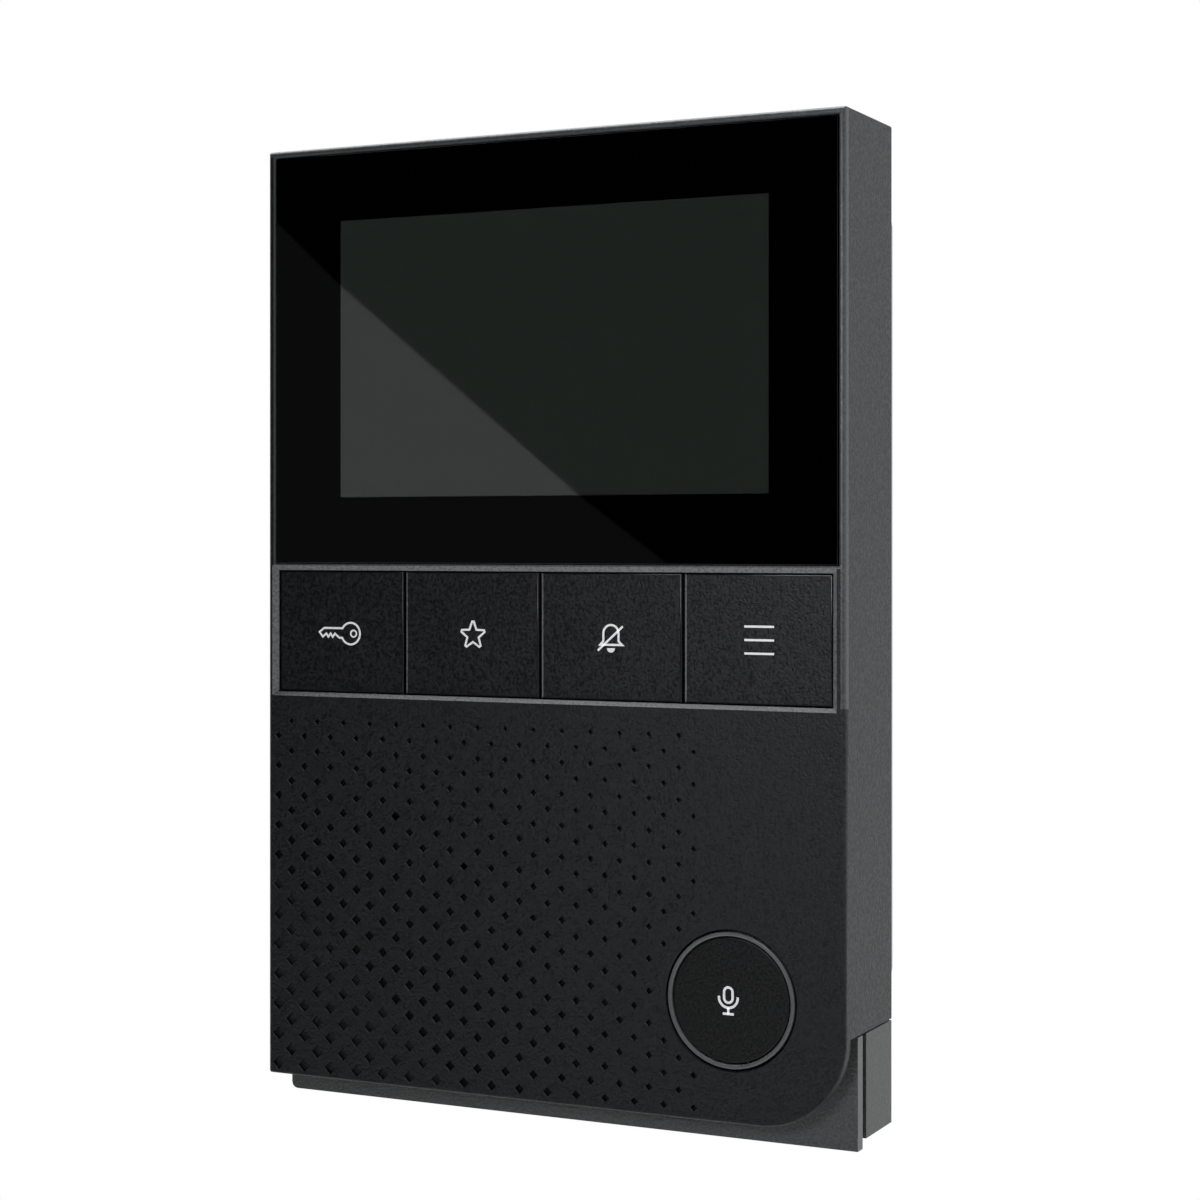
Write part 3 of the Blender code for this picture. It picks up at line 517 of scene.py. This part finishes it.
def finish_piece(made, finishes, body, node=None, choice=None):
    """Gives a built piece its finishes, its smooth shading, its body and the node it replaces.
    The choice names the finish of a face from its (centre, normal); else the first is used."""
    made.data.materials.clear()
    for name in finishes:
        made.data.materials.append(MATERIALS[name])
    for polygon in made.data.polygons:
        chosen = choice(polygon.center, polygon.normal) if choice else finishes[0]
        polygon.material_index = finishes.index(chosen)
    smooth(made)
    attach(made, body)
    if node:
        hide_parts(node)
    return made


def smooth(made):
    made.data.shade_smooth()
    made.data.set_sharp_from_angle(angle=math.radians(32))
    weighted = made.modifiers.new("flat faces stay flat", "WEIGHTED_NORMAL")
    weighted.keep_sharp = True


# ---------------------------------------------------------------- front cover


def hole_places():
    """(x, z, diagonal) of every pocket in the perforated field."""
    for row in range(HOLE_ROWS):
        for column in range((row + 1) % 2, HOLE_COLUMNS, 2):
            x = HOLE_START[0] + column * HOLE_COLUMN
            z = HOLE_START[1] - row * HOLE_ROW
            left = 1 - column / (HOLE_COLUMNS - 1)
            down = row / (HOLE_ROWS - 1)
            sideways = HOLE_GROWTH_LEFT + HOLE_GROWTH_CORNER * down**HOLE_GROWTH_POWER
            diagonal = HOLE_SMALL + HOLE_GROWTH_DOWN * down + sideways * left
            reach = math.hypot(x - TALK_CENTRE[0], z - TALK_CENTRE[1])
            if reach > RING_OUTER + TALK_CLEARANCE:
                yield x, z, diagonal


def goes_through(x, z):
    return math.hypot(x - SPEAKER_CENTRE[0], z - SPEAKER_CENTRE[1]) < CONE_RADIUS


def pocket_cutter(through):
    """Square pegs set on their corners, with a fine flare at the mouth."""
    bm = bmesh.new()
    for x, z, diagonal in hole_places():
        if goes_through(x, z) != through:
            continue
        depth = POCKET_SHALLOW if diagonal > SHALLOW_FROM else POCKET_DEPTH
        if through:
            depth = POCKET_DEPTH + PAST
        reach = diagonal / 2
        mouth = reach + POCKET_FLARE
        levels = ((-PAST, mouth), (0.0, mouth), (POCKET_FLARE, reach), (depth, reach))
        rings = [
            [
                bm.verts.new((x + size * side[0], at_depth(level), z + size * side[1]))
                for side in ((1, 0), (0, 1), (-1, 0), (0, -1))
            ]
            for level, size in levels
        ]
        bm.faces.new(rings[0])
        bm.faces.new(list(reversed(rings[-1])))
        for first, second in zip(rings, rings[1:]):
            for corner in range(4):
                after = (corner + 1) % 4
                bm.faces.new((first[corner], second[corner], second[after], first[after]))
    bmesh.ops.recalc_face_normals(bm, faces=bm.faces)
    return bm


def recess(x, z, depth, chamfer, raised=0.0):
    """(cutter, chamfer cutter) of a rectangular opening in the front face. The lower chamfer
    is narrower by the raised amount."""
    lift = 0.0002
    wide = chamfer + lift
    flare_z = (z[0] - wide + raised, z[1] + wide)
    flare = box_form((x[0] - wide, x[1] + wide), (-lift, chamfer), flare_z)
    return box_form(x, (-PAST, depth), z), taper_back(flare, wide)


def edge_cutter(axis, edge, stations):
    """Rounds a long front edge. It runs along x (axis 0) or z (axis 2) where the other one has
    the value edge, and each station is (place along it, rounding there)."""
    bm = bmesh.new()
    rings = []
    for place, width in stations:
        profile = [(edge + PAST, -PAST), (edge - width, -PAST)]
        profile += arc((edge - width, width), width, 270, 360, 9)
        profile.append((edge + PAST, width))
        ring = []
        for across, depth in profile:
            corner = Vector((across, at_depth(depth), across))
            corner[axis] = place
            ring.append(bm.verts.new(corner))
        rings.append(ring)
    bm.faces.new(rings[0])
    bm.faces.new(list(reversed(rings[-1])))
    for first, second in zip(rings, rings[1:]):
        for index in range(len(first)):
            after = (index + 1) % len(first)
            bm.faces.new((first[index], second[index], second[after], first[after]))
    bmesh.ops.recalc_face_normals(bm, faces=bm.faces)
    return bm


def make_front_cover():
    cover = cover_blank()
    hollow_cover(cover)
    open_cover(cover)
    # The window and rim finishes are painted highlights; the cloth finish also gives the pockets
    # painted shade.
    finishes = ("cover_plastic", "window_edge", "rim_edge", "acoustic_cloth")
    finish_piece(cover, finishes, "case", "front_cover", cover_finish_and_painted_light)
    weave = disc_form(SPEAKER_CENTRE, CLOTH_RADIUS, (POCKET_DEPTH, CLOTH_BACK))
    cloth = new_object("speaker_weave", weave)
    finish_piece(cloth, ["acoustic_cloth"], "case", "speaker_cloth")


def cover_blank():
    """The cover's outer form, solid, with its rounded corners and front edges."""
    depth = COVER_HIGH.y - COVER_LOW.y
    bm = box_form((-HALF, HALF), (0, depth), (COVER_LOW.z, COVER_HIGH.z))
    small = edges_where(bm, lambda a, b: runs_back(a, b) and (a.x < 0 or a.z > 0))
    bevel(bm, small, SMALL_CORNER, 4)
    large = edges_where(bm, lambda a, b: runs_back(a, b) and a.x > 0 and a.z < 0)
    bevel(bm, large, PLATE_CORNER, 32)
    bevel(bm, front_edges(bm), RIM_SMALL, 4)
    cover = new_object("cover_shell", bm)
    top, beyond = COVER_HIGH.z, HALF + PAST
    right_rim = (
        (SIDE_CUT, 0.8 * RIM_SMALL),
        (WINDOW_Z[0], RIM_RIGHT),
        (top + PAST, RIM_RIGHT),
    )
    cut(
        cover,
        edge_cutter(0, top, ((-beyond, RIM_TOP), (beyond, RIM_TOP))),
        edge_cutter(2, HALF, right_rim),
    )
    return cover


def hollow_cover(cover):
    """Leaves the plate, its walls and the ledge that the glass lies on."""
    inside = HALF - WALL
    inside_top = COVER_HIGH.z - WALL
    below = COVER_LOW.z - PAST
    behind = COVER_HIGH.y - COVER_LOW.y + PAST
    cut(
        cover,
        box_form((-inside, inside), (PLATE_THICKNESS, behind), (below, inside_top)),
        box_form((inside - PAST, HALF + PAST), (PLATE_THICKNESS, behind), (below, SIDE_CUT)),
    )
    ledge_x = around(0, inside + OVERLAP)
    ledge_z = (WINDOW_Z[1] + LEDGE_INSET, inside_top + OVERLAP)
    join(cover, box_form(ledge_x, (PLATE_THICKNESS / 2, LEDGE_BACK), ledge_z))


def open_cover(cover):
    """Cuts the openings for the glass, the display, the keys, the talk button and sound."""
    glass_x = (GLASS_LOW.x - GAP / 2, GLASS_HIGH.x + GAP / 2)
    glass_z = (GLASS_LOW.z - GAP / 2, GLASS_HIGH.z + GAP / 2)
    past_picture = CELL_MARGIN - SCREEN_MARGIN
    screen_x = (PANEL_LOW.x + past_picture, PANEL_HIGH.x - past_picture)
    screen_z = (PANEL_LOW.z + past_picture, PANEL_HIGH.z - past_picture)
    raised = WINDOW_CHAMFER - WINDOW_CHAMFER_LOW
    window = recess(WINDOW_X, WINDOW_Z, LEDGE_BACK + PAST, WINDOW_CHAMFER, raised)
    talk_radius = RING_OUTER + TALK_HOLE_GAP
    talk_mouth = talk_radius + TALK_HOLE_FLARE
    lift = TALK_HOLE_FLARE / 2
    talk_flare = ((0.0, -lift), (talk_mouth, -lift), (talk_radius, lift), (0.0, lift))
    through = PLATE_THICKNESS + PAST
    cut(
        cover,
        *recess(glass_x, glass_z, PLATE_THICKNESS, GLASS_CHAMFER),
        box_form(screen_x, (-PAST, LEDGE_BACK + PAST), screen_z),
        *window,
        disc_form(TALK_CENTRE, talk_radius, (-PAST, through), 96),
        turned_form(TALK_CENTRE, talk_flare),
        disc_form(SPEAKER_CENTRE, CLOTH_RADIUS + GAP, (POCKET_DEPTH, through)),
        pocket_cutter(False),
        pocket_cutter(True),
        disc_form(MICROPHONE, MICROPHONE_BORE, (0, through), 16),
    )


def cover_finish_and_painted_light(centre, normal):
    """The key window's slopes and the rim round the glass are lighter, as a painted highlight."""
    reach = WINDOW_CHAMFER + 0.0001
    near_x = WINDOW_X[0] - reach < centre.x < WINDOW_X[1] + reach
    near_z = WINDOW_Z[0] - reach < centre.z < WINDOW_Z[1] + reach
    # Painted highlight: the key window's slopes take lighter plastic.
    if 0.6 < -normal.y < 0.8 and near_x and near_z:
        return "window_edge"
    if centre.z < WINDOW_Z[0]:
        return field_finish_and_painted_light(centre, normal)
    # Painted highlight: the rim round the glass takes lighter plastic.
    rim_highlight_mask = max(abs(centre.x) - HALF, centre.z - COVER_HIGH.z) > -RIM_HIGHLIGHT_WIDTH
    return "rim_edge" if rim_highlight_mask and normal.y <= -0.02 else "cover_plastic"


def field_finish_and_painted_light(centre, normal):
    """Painted shade, dark inside the pockets but for the floors of the shallow ones; painted
    highlight, light on the flares at their lower left."""
    depth = centre.y - FRONT
    # Painted shade: pocket walls and the floors of the deep pockets take the dark cloth.
    aslant = abs(abs(normal.x) - abs(normal.z)) < 0.01
    if aslant and POCKET_FLARE < depth < POCKET_DEPTH + CLOSE:
        shallow_floor = normal.y <= -0.5 and depth <= POCKET_SHALLOW + CLOSE
        return "cover_plastic" if shallow_floor else "acoustic_cloth"
    from_talk = math.hypot(centre.x - TALK_CENTRE[0], centre.z - TALK_CENTRE[1])
    in_field = from_talk > RING_OUTER + TALK_CLEARANCE / 2
    # Painted highlight: the pocket flares facing up and to the right take lighter plastic.
    flare = normal.y <= -0.02 and min(normal.x, normal.z) > 0.2
    return "rim_edge" if in_field and flare else "cover_plastic"


# ---------------------------------------------------------------- glass


def make_glass():
    """A cover glass printed black behind, but for the display's window."""
    x = (GLASS_LOW.x, GLASS_HIGH.x)
    z = (GLASS_LOW.z, GLASS_HIGH.z)
    thickness = GLASS_HIGH.y - GLASS_LOW.y
    bm = box_form(x, (0, thickness), z)
    bevel(bm, front_edges(bm), GLASS_BEVEL, 3)
    window_x = (PANEL_LOW.x + CELL_MARGIN, PANEL_HIGH.x - CELL_MARGIN)
    window_z = (PANEL_LOW.z + CELL_MARGIN, PANEL_HIGH.z - CELL_MARGIN)
    for axis, places in ((0, window_x), (2, window_z)):
        for place in places:
            point, normal = Vector(), Vector()
            point[axis], normal[axis] = place, 1.0
            everything = bm.verts[:] + bm.edges[:] + bm.faces[:]
            bmesh.ops.bisect_plane(bm, geom=everything, plane_co=point, plane_no=normal)

    def finish(centre, normal):
        across = window_x[0] < centre.x < window_x[1] and window_z[0] < centre.z < window_z[1]
        return "display" if across and normal.y < -0.9 else "cover_glass"

    glass = new_object("cover_glass_panel", bm)
    finishes = ("cover_glass", "display")
    return finish_piece(glass, finishes, "case", "cover_glass", finish)


# ---------------------------------------------------------------- symbols


STROKE = 0.00038
SYMBOL_PROUD = 0.00004
SYMBOL_SUNK = 0.00006


def ribbon(bm, points, centre, face_y, closed=False, width=STROKE):
    """A flat stroke of even width along (x, z) points, standing a hair proud of a face."""
    points = [Vector(point) for point in points]
    count = len(points)
    sides = []
    for index, point in enumerate(points):
        before = points[index - 1] if index or closed else None
        after = points[(index + 1) % count] if index < count - 1 or closed else None
        first = (point - before).normalized() if before is not None else None
        second = (after - point).normalized() if after is not None else None
        along = ((first or second) + (second or first)).normalized()
        across = Vector((-along.y, along.x))
        straight = second if second is not None else first
        stretch = max(across.dot(Vector((-straight.y, straight.x))), 0.35)
        offset = across * (width / 2 / stretch)
        sides.append((point + offset, point - offset))
    layers = []
    for y in (face_y - SYMBOL_PROUD, face_y + SYMBOL_SUNK):
        layers.append([
            [bm.verts.new((centre[0] + side.x, y, centre[1] + side.y)) for side in pair]
            for pair in sides
        ])
    front, back = layers
    steps = range(count if closed else count - 1)
    for index in steps:
        after = (index + 1) % count
        a, b = front[index], front[after]
        c, d = back[index], back[after]
        bm.faces.new((a[0], b[0], b[1], a[1]))
        bm.faces.new((c[0], c[1], d[1], d[0]))
        bm.faces.new((a[0], c[0], d[0], b[0]))
        bm.faces.new((a[1], b[1], d[1], c[1]))
    if not closed:
        for end in (0, -1):
            bm.faces.new((front[end][0], front[end][1], back[end][1], back[end][0]))


def filled(bm, points, centre, face_y):
    """A filled flat shape with this outline, as proud as a stroke."""
    layers = [
        [bm.verts.new((centre[0] + x, y, centre[1] + z)) for x, z in points]
        for y in (face_y - SYMBOL_PROUD, face_y + SYMBOL_SUNK)
    ]
    bm.faces.new(layers[0])
    bm.faces.new(layers[1])
    for index in range(len(points)):
        after = (index + 1) % len(points)
        bm.faces.new((layers[0][index], layers[1][index], layers[1][after], layers[0][after]))


def key_symbol(bm, centre, y):
    """A key that lies on its side, bow to the right, teeth below."""
    bow = (0.00252, -0.00034)
    radius = 0.00203
    top, bottom = 0.00064, -0.00117
    start = 180 - math.degrees(math.asin((top - bow[1]) / radius))
    end = math.degrees(math.asin((bow[1] - bottom) / radius)) - 180
    outline = [(-0.00435, -0.00012), (-0.00332, top)]
    outline += arc(bow, radius, start, end, 40)
    outline += [(0.00005, bottom)]
    for tooth in range(3):
        notch = -0.00095 - 0.00095 * tooth
        outline += [(notch, -0.00040), (notch - 0.00050, -0.00100)]
    outline[-1] = (-0.00364, -0.00100)
    ribbon(bm, outline, centre, y, closed=True)
    ribbon(bm, arc((0.00315, bow[1]), 0.00062, 0, 345, 20), centre, y, closed=True, width=0.0003)


def star_symbol(bm, centre, y):
    """A five-pointed star with blunted tips."""
    outer, inner, blunt = 0.00250, 0.00124, 4
    place = (centre[0] + 0.0004, centre[1] - 0.0002)
    points = []
    for tip in range(5):
        for turn, radius in ((-blunt, outer), (blunt, outer), (36, inner)):
            angle = math.radians(90 - 72 * tip - turn)
            points.append((radius * math.cos(angle), radius * math.sin(angle)))
    ribbon(bm, points, place, y, closed=True)


def bell_symbol(bm, centre, y):
    """A bell with a stroke across it and its clapper below."""
    middle, half = 0.00013, 0.00150
    outline = arc((middle, 0.00060), half, 0, 180, 18)
    outline += [(middle - half, -0.00080), (middle - 0.00212, -0.00145)]
    outline += [(middle + 0.00220, -0.00145), (middle + half, -0.00080)]
    ribbon(bm, outline, centre, y, closed=True)
    ribbon(bm, ((-0.00247, -0.00250), (0.00247, 0.00187)), centre, y)
    filled(bm, arc((middle, -0.00205), 0.00078, 180, 360, 14), centre, y)


def menu_symbol(bm, centre, y):
    for height in (-0.00247, -0.00012, 0.00223):
        ribbon(bm, ((-0.00247, height), (0.00307, height)), centre, y)


def microphone_symbol(bm, centre, y):
    place = (centre[0] - 0.00046, centre[1])
    half, top, bottom, wide = 0.00080, 0.00221, -0.00045, 0.00043
    capsule = arc((0, top - half), half, 0, 180, 14) + arc((0, bottom + half), half, 180, 360, 14)
    ribbon(bm, capsule, place, y, closed=True, width=wide)
    cradle = [(-0.00177, 0.00062), *arc((0, 0.00043), 0.00177, 180, 360, 24), (0.00177, 0.00062)]
    ribbon(bm, cradle, place, y, width=wide)
    ribbon(bm, ((0, -0.00134), (0, -0.00241)), place, y, width=wide)
    ribbon(bm, ((-0.00103, -0.00241), (0.00103, -0.00241)), place, y, width=wide)


def make_symbol(name, draw, centre, face_y, body):
    bm = bmesh.new()
    draw(bm, centre, face_y)
    bmesh.ops.recalc_face_normals(bm, faces=bm.faces)
    finish_piece(new_object(f"symbol_{name}", bm), ["symbol_print"], body)


# ---------------------------------------------------------------- keys and talk button


KEY_SYMBOLS = {
    "door": key_symbol,
    "favourite": star_symbol,
    "mute": bell_symbol,
    "menu": menu_symbol,
}


def make_keys():
    pitch = KEY_BOXES["mute"][0].x - KEY_BOXES["favourite"][0].x
    middle = (KEY_BOXES["mute"][0].x + KEY_BOXES["favourite"][1].x) / 2
    for index, name in enumerate(KEYS):
        low, high = KEY_BOXES[name]
        z = (low.z + FLANGE_REACH, high.z - FLANGE_REACH)
        x = (
            low.x - (KEY_GROWTH if name == KEYS[0] else 0.0),
            high.x + (KEY_GROWTH if name == KEYS[-1] else 0.0),
        )
        depth = (low.y - FRONT, FLANGE_DEPTH[0] + FLANGE_OVERLAP)
        bm = box_form(x, depth, (z[0] - KEY_GROWTH, z[1] + KEY_GROWTH))
        wide_edge = None if name == KEYS[0] else x[0]
        key = rounded_front(f"{name}_key_cap", bm, key_rounding(wide_edge))
        join(key, box_form((low.x, high.x), FLANGE_DEPTH, (low.z, high.z)))
        centre = (middle + (index - 1.5) * pitch, sum(z) / 2)
        stem = (FLANGE_DEPTH[1] - OVERLAP, high.y - FRONT)
        join(key, disc_form(centre, STEM_RADIUS, stem, 32))
        body = f"{name}_key"
        # The third finish is a painted highlight on the left edge beside another key.
        finishes = ("key_plastic", "key_edge", "window_edge")
        finish_piece(key, finishes, body, f"key_{name}", key_finish_and_painted_highlight)
        make_symbol(name, KEY_SYMBOLS[name], centre, low.y, body)


def key_rounding(wide_edge):
    """The rounding of a key's front edges; the upright one at this x, if any, is wider."""
    if wide_edge is None:
        return lambda a, b: KEY_BEVEL
    return lambda a, b: KEY_BEVEL_LEFT if max(a.x, b.x) < wide_edge + 1e-6 else KEY_BEVEL


def key_finish_and_painted_highlight(centre, normal):
    """A key's rounded edges are glossier; the left one beside another key has a painted highlight.
    """
    if centre.y > KEY_BOXES["door"][0].y + KEY_BEVEL_LEFT or normal.y < -0.99:
        return "key_plastic"
    # Painted highlight: the left edge of a key beside another key takes lighter plastic.
    beside_key = centre.x > KEY_BOXES["door"][1].x
    return "window_edge" if beside_key and normal.x < -0.15 else "key_edge"


def make_talk_button():
    inner, face, back = RING_OUTER - RING_WIDTH, CAP_LOW.y - FRONT, CAP_HIGH.y - FRONT
    edge = inner - CAP_CLEARANCE
    profile = [(0.0, face), *arc((edge - ROUNDING, face + ROUNDING), ROUNDING, 270, 360, 4)]
    profile += [
        (edge, CAP_FLANGE_DEPTH[0]),
        (CAP_FLANGE_RADIUS, CAP_FLANGE_DEPTH[0]),
        (CAP_FLANGE_RADIUS, CAP_FLANGE_DEPTH[1]),
        (STEM_RADIUS, CAP_FLANGE_DEPTH[1]),
        (STEM_RADIUS, back),
        (0.0, back),
    ]
    cap = new_object("talk_cap", turned_form(TALK_CENTRE, profile))
    finish_piece(cap, ["talk_plastic"], "talk_key", "talk_button")
    ring = arc((inner + ROUNDING, ROUNDING), ROUNDING, 180, 270, 4)
    ring += arc((RING_OUTER - ROUNDING, ROUNDING), ROUNDING, 270, 360, 4)
    ring += [(RING_OUTER, RING_BACK), (inner, RING_BACK)]
    made = new_object("talk_light_ring", turned_form(TALK_CENTRE, ring, 128))
    finish_piece(made, ["ring_plastic"], "talk_key", "talk_ring")
    make_symbol("talk", microphone_symbol, TALK_CENTRE, CAP_LOW.y, "talk_key")


# ---------------------------------------------------------------- screws and socket contacts


def make_housing_screw(node):
    """A domed screw with a cross recess, its head towards the wall."""
    low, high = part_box(node)
    centre = middle_of(low, high)
    tip, end = low.y - FRONT, high.y - FRONT
    head = (high.x - low.x) / 2
    seat = end - SCREW_HEAD
    brim = seat + SCREW_HEAD_EDGE
    profile = [(0.0, tip), (SCREW_TIP_RADIUS, tip)]
    profile += [(SCREW_SHANK_RADIUS, tip + SCREW_TIP_LENGTH), (SCREW_SHANK_RADIUS, seat)]
    profile += [(head, seat), (head, brim)]
    dome = arc((0.0, 0.0), 1.0, 25, 90, 8)[1:-1]
    profile += [(head * x, brim + (SCREW_HEAD - SCREW_HEAD_EDGE) * y) for x, y in dome]
    profile.append((0.0, end))
    screw = new_object(f"{node}_cross_head", turned_form(centre, profile, 48))
    recess_depth = (end - RECESS_DEPTH, end + PAST)
    for wide, tall in ((RECESS_REACH, RECESS_BLADE), (RECESS_BLADE, RECESS_REACH)):
        cut(screw, box_form(around(centre[0], wide), recess_depth, around(centre[1], tall)))
    finish_piece(screw, ["steel"], "case", node)


def make_socket_contacts():
    """The sprung contacts inside the network socket's mouth."""
    low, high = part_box("lan_socket")
    middle = (low.x + high.x) / 2
    front = low.y - FRONT + CONTACT_INSET
    depth = (front, front + CONTACT_THICKNESS)
    bm = bmesh.new()
    for index in range(CONTACTS):
        x = middle + (index - (CONTACTS - 1) / 2) * CONTACT_PITCH
        strip = box_form(around(x, CONTACT_HALF), depth, [low.z + end for end in CONTACT_SPAN])
        upper = max(vert.co.z for vert in strip.verts)
        for vert in strip.verts:
            if vert.co.z > upper - CLOSE:
                vert.co.y += CONTACT_SLOPE
        piece = bpy.data.meshes.new("contact")
        strip.to_mesh(piece)
        strip.free()
        bm.from_mesh(piece)
        bpy.data.meshes.remove(piece)
    finish_piece(new_object("socket_contacts", bm), ["gold"], "case")


# ---------------------------------------------------------------- the CAD nodes that stay


def soften(node, width):
    """Rounds a CAD node's edges without touching its mesh."""
    made = frame["nodes"][node]
    weld = made.modifiers.new("weld", "WELD")
    weld.merge_threshold = 0.000005
    planar = made.modifiers.new("planar", "DECIMATE")
    planar.decimate_type = "DISSOLVE"
    planar.angle_limit = math.radians(1)
    edge = made.modifiers.new("edges", "BEVEL")
    edge.width = width
    edge.segments = 2
    edge.limit_method = "ANGLE"
    edge.angle_limit = math.radians(40)
    edge.use_clamp_overlap = True
    smooth(made)


def finish_nodes():
    """Every CAD node takes the material of its slot in the record."""
    for entry in frame["record"]["subparts"]:
        made = frame["nodes"][entry["node"]]
        made.data.materials.clear()
        made.data.materials.append(MATERIALS[entry["material_slot"]])


# ---------------------------------------------------------------- stage, light and camera


CAMERA_PLACE = Vector((0.2023, -0.4189, 0.0157))
CAMERA_TURN = math.radians(25.8)
LENS = 73.68
SHIFT_UP = -0.05
FLOOR_HEIGHT = -0.60
FLOOR_HALF = 1.3

# Brightness round the object, from in front of it (0) to behind it (1)
SURROUND = ((0.0, 0.0), (0.46, 0.0), (0.51, 0.80), (0.60, 1.0), (0.80, 0.65), (1.0, 0.38))
SURROUND_STRENGTH = 1.8

# The dim card mirrored in the glass: two points (x, z) that its edge crosses on the front
# face, and one that lies inside its reflection
CARD_EDGE = ((-0.05695, 0.0751), (0.02256, 0.0118))
CARD_INSIDE = (-0.05, 0.02)
CARD_STRENGTH = 0.10
SIDE_GLOW = (0.93, -0.36, 0.10)
SIDE_GLOW_STRENGTH = 0.9


def mirrored(x, z):
    """Direction that the camera sees mirrored at this point of the front face."""
    point = Vector((x, FRONT, z))
    towards = (CAMERA_PLACE - point).normalized()
    return Vector((-towards.x, towards.y, -towards.z))


def make_world():
    """White behind the object, dark in front of it but for one dim card with a slanted edge."""
    world = bpy.data.worlds.new("studio")
    bpy.context.scene.world = world
    world.use_nodes = True
    tree = world.node_tree
    tree.nodes.clear()
    direction = add(tree, "ShaderNodeTexCoord").outputs["Generated"]
    split = add(tree, "ShaderNodeSeparateXYZ", i0=direction)
    light = math_node(tree, "ADD", surround(tree, split), card(tree, direction, split))
    light = math_node(tree, "ADD", light, side_glow(tree, direction))
    lighting = add(tree, "ShaderNodeBackground", Strength=light, Color=(0.98, 1.0, 1.0, 1.0))
    seen = add(tree, "ShaderNodeBackground", Strength=1.0, Color=grey(1.0))
    ray = add(tree, "ShaderNodeLightPath").outputs["Is Camera Ray"]
    both = add(tree, "ShaderNodeMixShader", i0=ray, i1=lighting.outputs[0], i2=seen.outputs[0])
    add(tree, "ShaderNodeOutputWorld", i0=both.outputs[0])


def surround(tree, split):
    """Dark in front of the object, white beside it, less behind it."""
    backwards = remap(tree, split.outputs["Y"], -1.0, 1.0, 0.0, 1.0)
    ramp = add(tree, "ShaderNodeValToRGB", i0=backwards)
    ramp.color_ramp.interpolation = "EASE"
    elements = ramp.color_ramp.elements
    while len(elements) < len(SURROUND):
        elements.new(0.5)
    for element, (place, value) in zip(elements, SURROUND):
        element.position = place
        element.color = grey(value)
    return math_node(tree, "MULTIPLY", ramp.outputs["Color"], SURROUND_STRENGTH)


def cosine_to(tree, direction, aim):
    """The cosine of the angle between a direction and the aim."""
    made = add(tree, "ShaderNodeVectorMath", {"operation": "DOT_PRODUCT"}, i0=direction)
    made.inputs[1].default_value = aim
    return made.outputs["Value"]


def card(tree, direction, split):
    """A dim card in front of the object, above floor height, on one side of its edge."""
    edge = mirrored(*CARD_EDGE[0]).cross(mirrored(*CARD_EDGE[1])).normalized()
    if edge.dot(mirrored(*CARD_INSIDE)) < 0:
        edge.negate()
    lit = remap(tree, cosine_to(tree, direction, edge), -0.0004, 0.0004, 0.0, CARD_STRENGTH)
    in_front = remap(tree, split.outputs["Y"], -0.70, -0.60, 1.0, 0.0)
    above = remap(tree, split.outputs["Z"], -0.06, -0.03, 0.0, 1.0)
    return math_node(tree, "MULTIPLY", math_node(tree, "MULTIPLY", lit, in_front), above)


def side_glow(tree, direction):
    """A soft light from the right, a little in front of the object."""
    facing = cosine_to(tree, direction, Vector(SIDE_GLOW).normalized())
    facing = math_node(tree, "MAXIMUM", facing, 0.0)
    spot = math_node(tree, "POWER", facing, 14.0)
    return math_node(tree, "MULTIPLY", spot, SIDE_GLOW_STRENGTH)


def make_light(name, place, aim, size, power, spread, colour=(1.0, 1.0, 1.0)):
    light = bpy.data.lights.new(name, "AREA")
    light.shape = "RECTANGLE"
    light.size, light.size_y = size
    light.energy = power
    light.color = colour
    light.spread = math.radians(spread)
    made = bpy.data.objects.new(name, light)
    made.location = place
    made.rotation_euler = (Vector(aim) - Vector(place)).to_track_quat("-Z", "Y").to_euler()
    made.visible_camera = False
    bpy.context.scene.collection.objects.link(made)
    return made


def keep_off(light, piece):
    """The light doesn't reach this piece, so it shows no mirror image of it."""
    kept_off = bpy.data.collections.new(f"not lit by the {light.name}")
    kept_off.objects.link(piece)
    kept_off.collection_objects[0].light_linking.link_state = "EXCLUDE"
    light.light_linking.receiver_collection = kept_off


def make_lights(cover_glass):
    front = make_light(
        "front softbox",
        place=(0.05, -0.46, 0.14),
        aim=(0.085, -0.02, 0.02),
        size=(0.16, 0.16),
        power=0.060,
        spread=44.0,
        colour=(0.93, 0.93, 1.0),
    )
    keep_off(front, cover_glass)
    make_light(
        "overhead softbox",
        place=(-0.10, 0.06, 0.46),
        aim=(-0.10, 0.06, 0.0),
        size=(0.50, 0.30),
        power=2.0,
        spread=170.0,
    )


def make_floor():
    bm = bmesh.new()
    place = Matrix.Translation((0.0, 0.0, FLOOR_HEIGHT))
    bmesh.ops.create_grid(bm, x_segments=8, y_segments=8, size=FLOOR_HALF, matrix=place)
    floor = new_object("floor", bm)
    material, tree, shader, place = new_material("floor_paint")
    tone = mix_colours(tree, noise(tree, place, 6.0, 3.0), grey(0.86), grey(0.90))
    tree.links.new(tone, shader.inputs["Base Color"])
    shader.inputs["Roughness"].default_value = 0.8
    floor.data.materials.append(material)


def make_camera():
    camera = bpy.data.cameras.new("camera")
    camera.lens = LENS
    camera.sensor_width = 36.0
    camera.shift_y = SHIFT_UP
    camera.clip_start = 0.01
    made = bpy.data.objects.new("camera", camera)
    made.location = CAMERA_PLACE
    made.rotation_euler = (math.pi / 2, 0.0, CAMERA_TURN)
    bpy.context.scene.collection.objects.link(made)
    bpy.context.scene.camera = made


finish_nodes()
make_front_cover()
cover_glass = make_glass()
make_keys()
make_talk_button()
for number in range(1, 5):
    make_housing_screw(f"housing_screw_{number}")
make_socket_contacts()
for softened in ("mid_frame", "rear_housing", "wall_plate"):
    soften(softened, 0.0003)
make_world()
make_lights(cover_glass)
make_floor()
make_camera()
bpy.context.scene.view_settings.view_transform = "Standard"
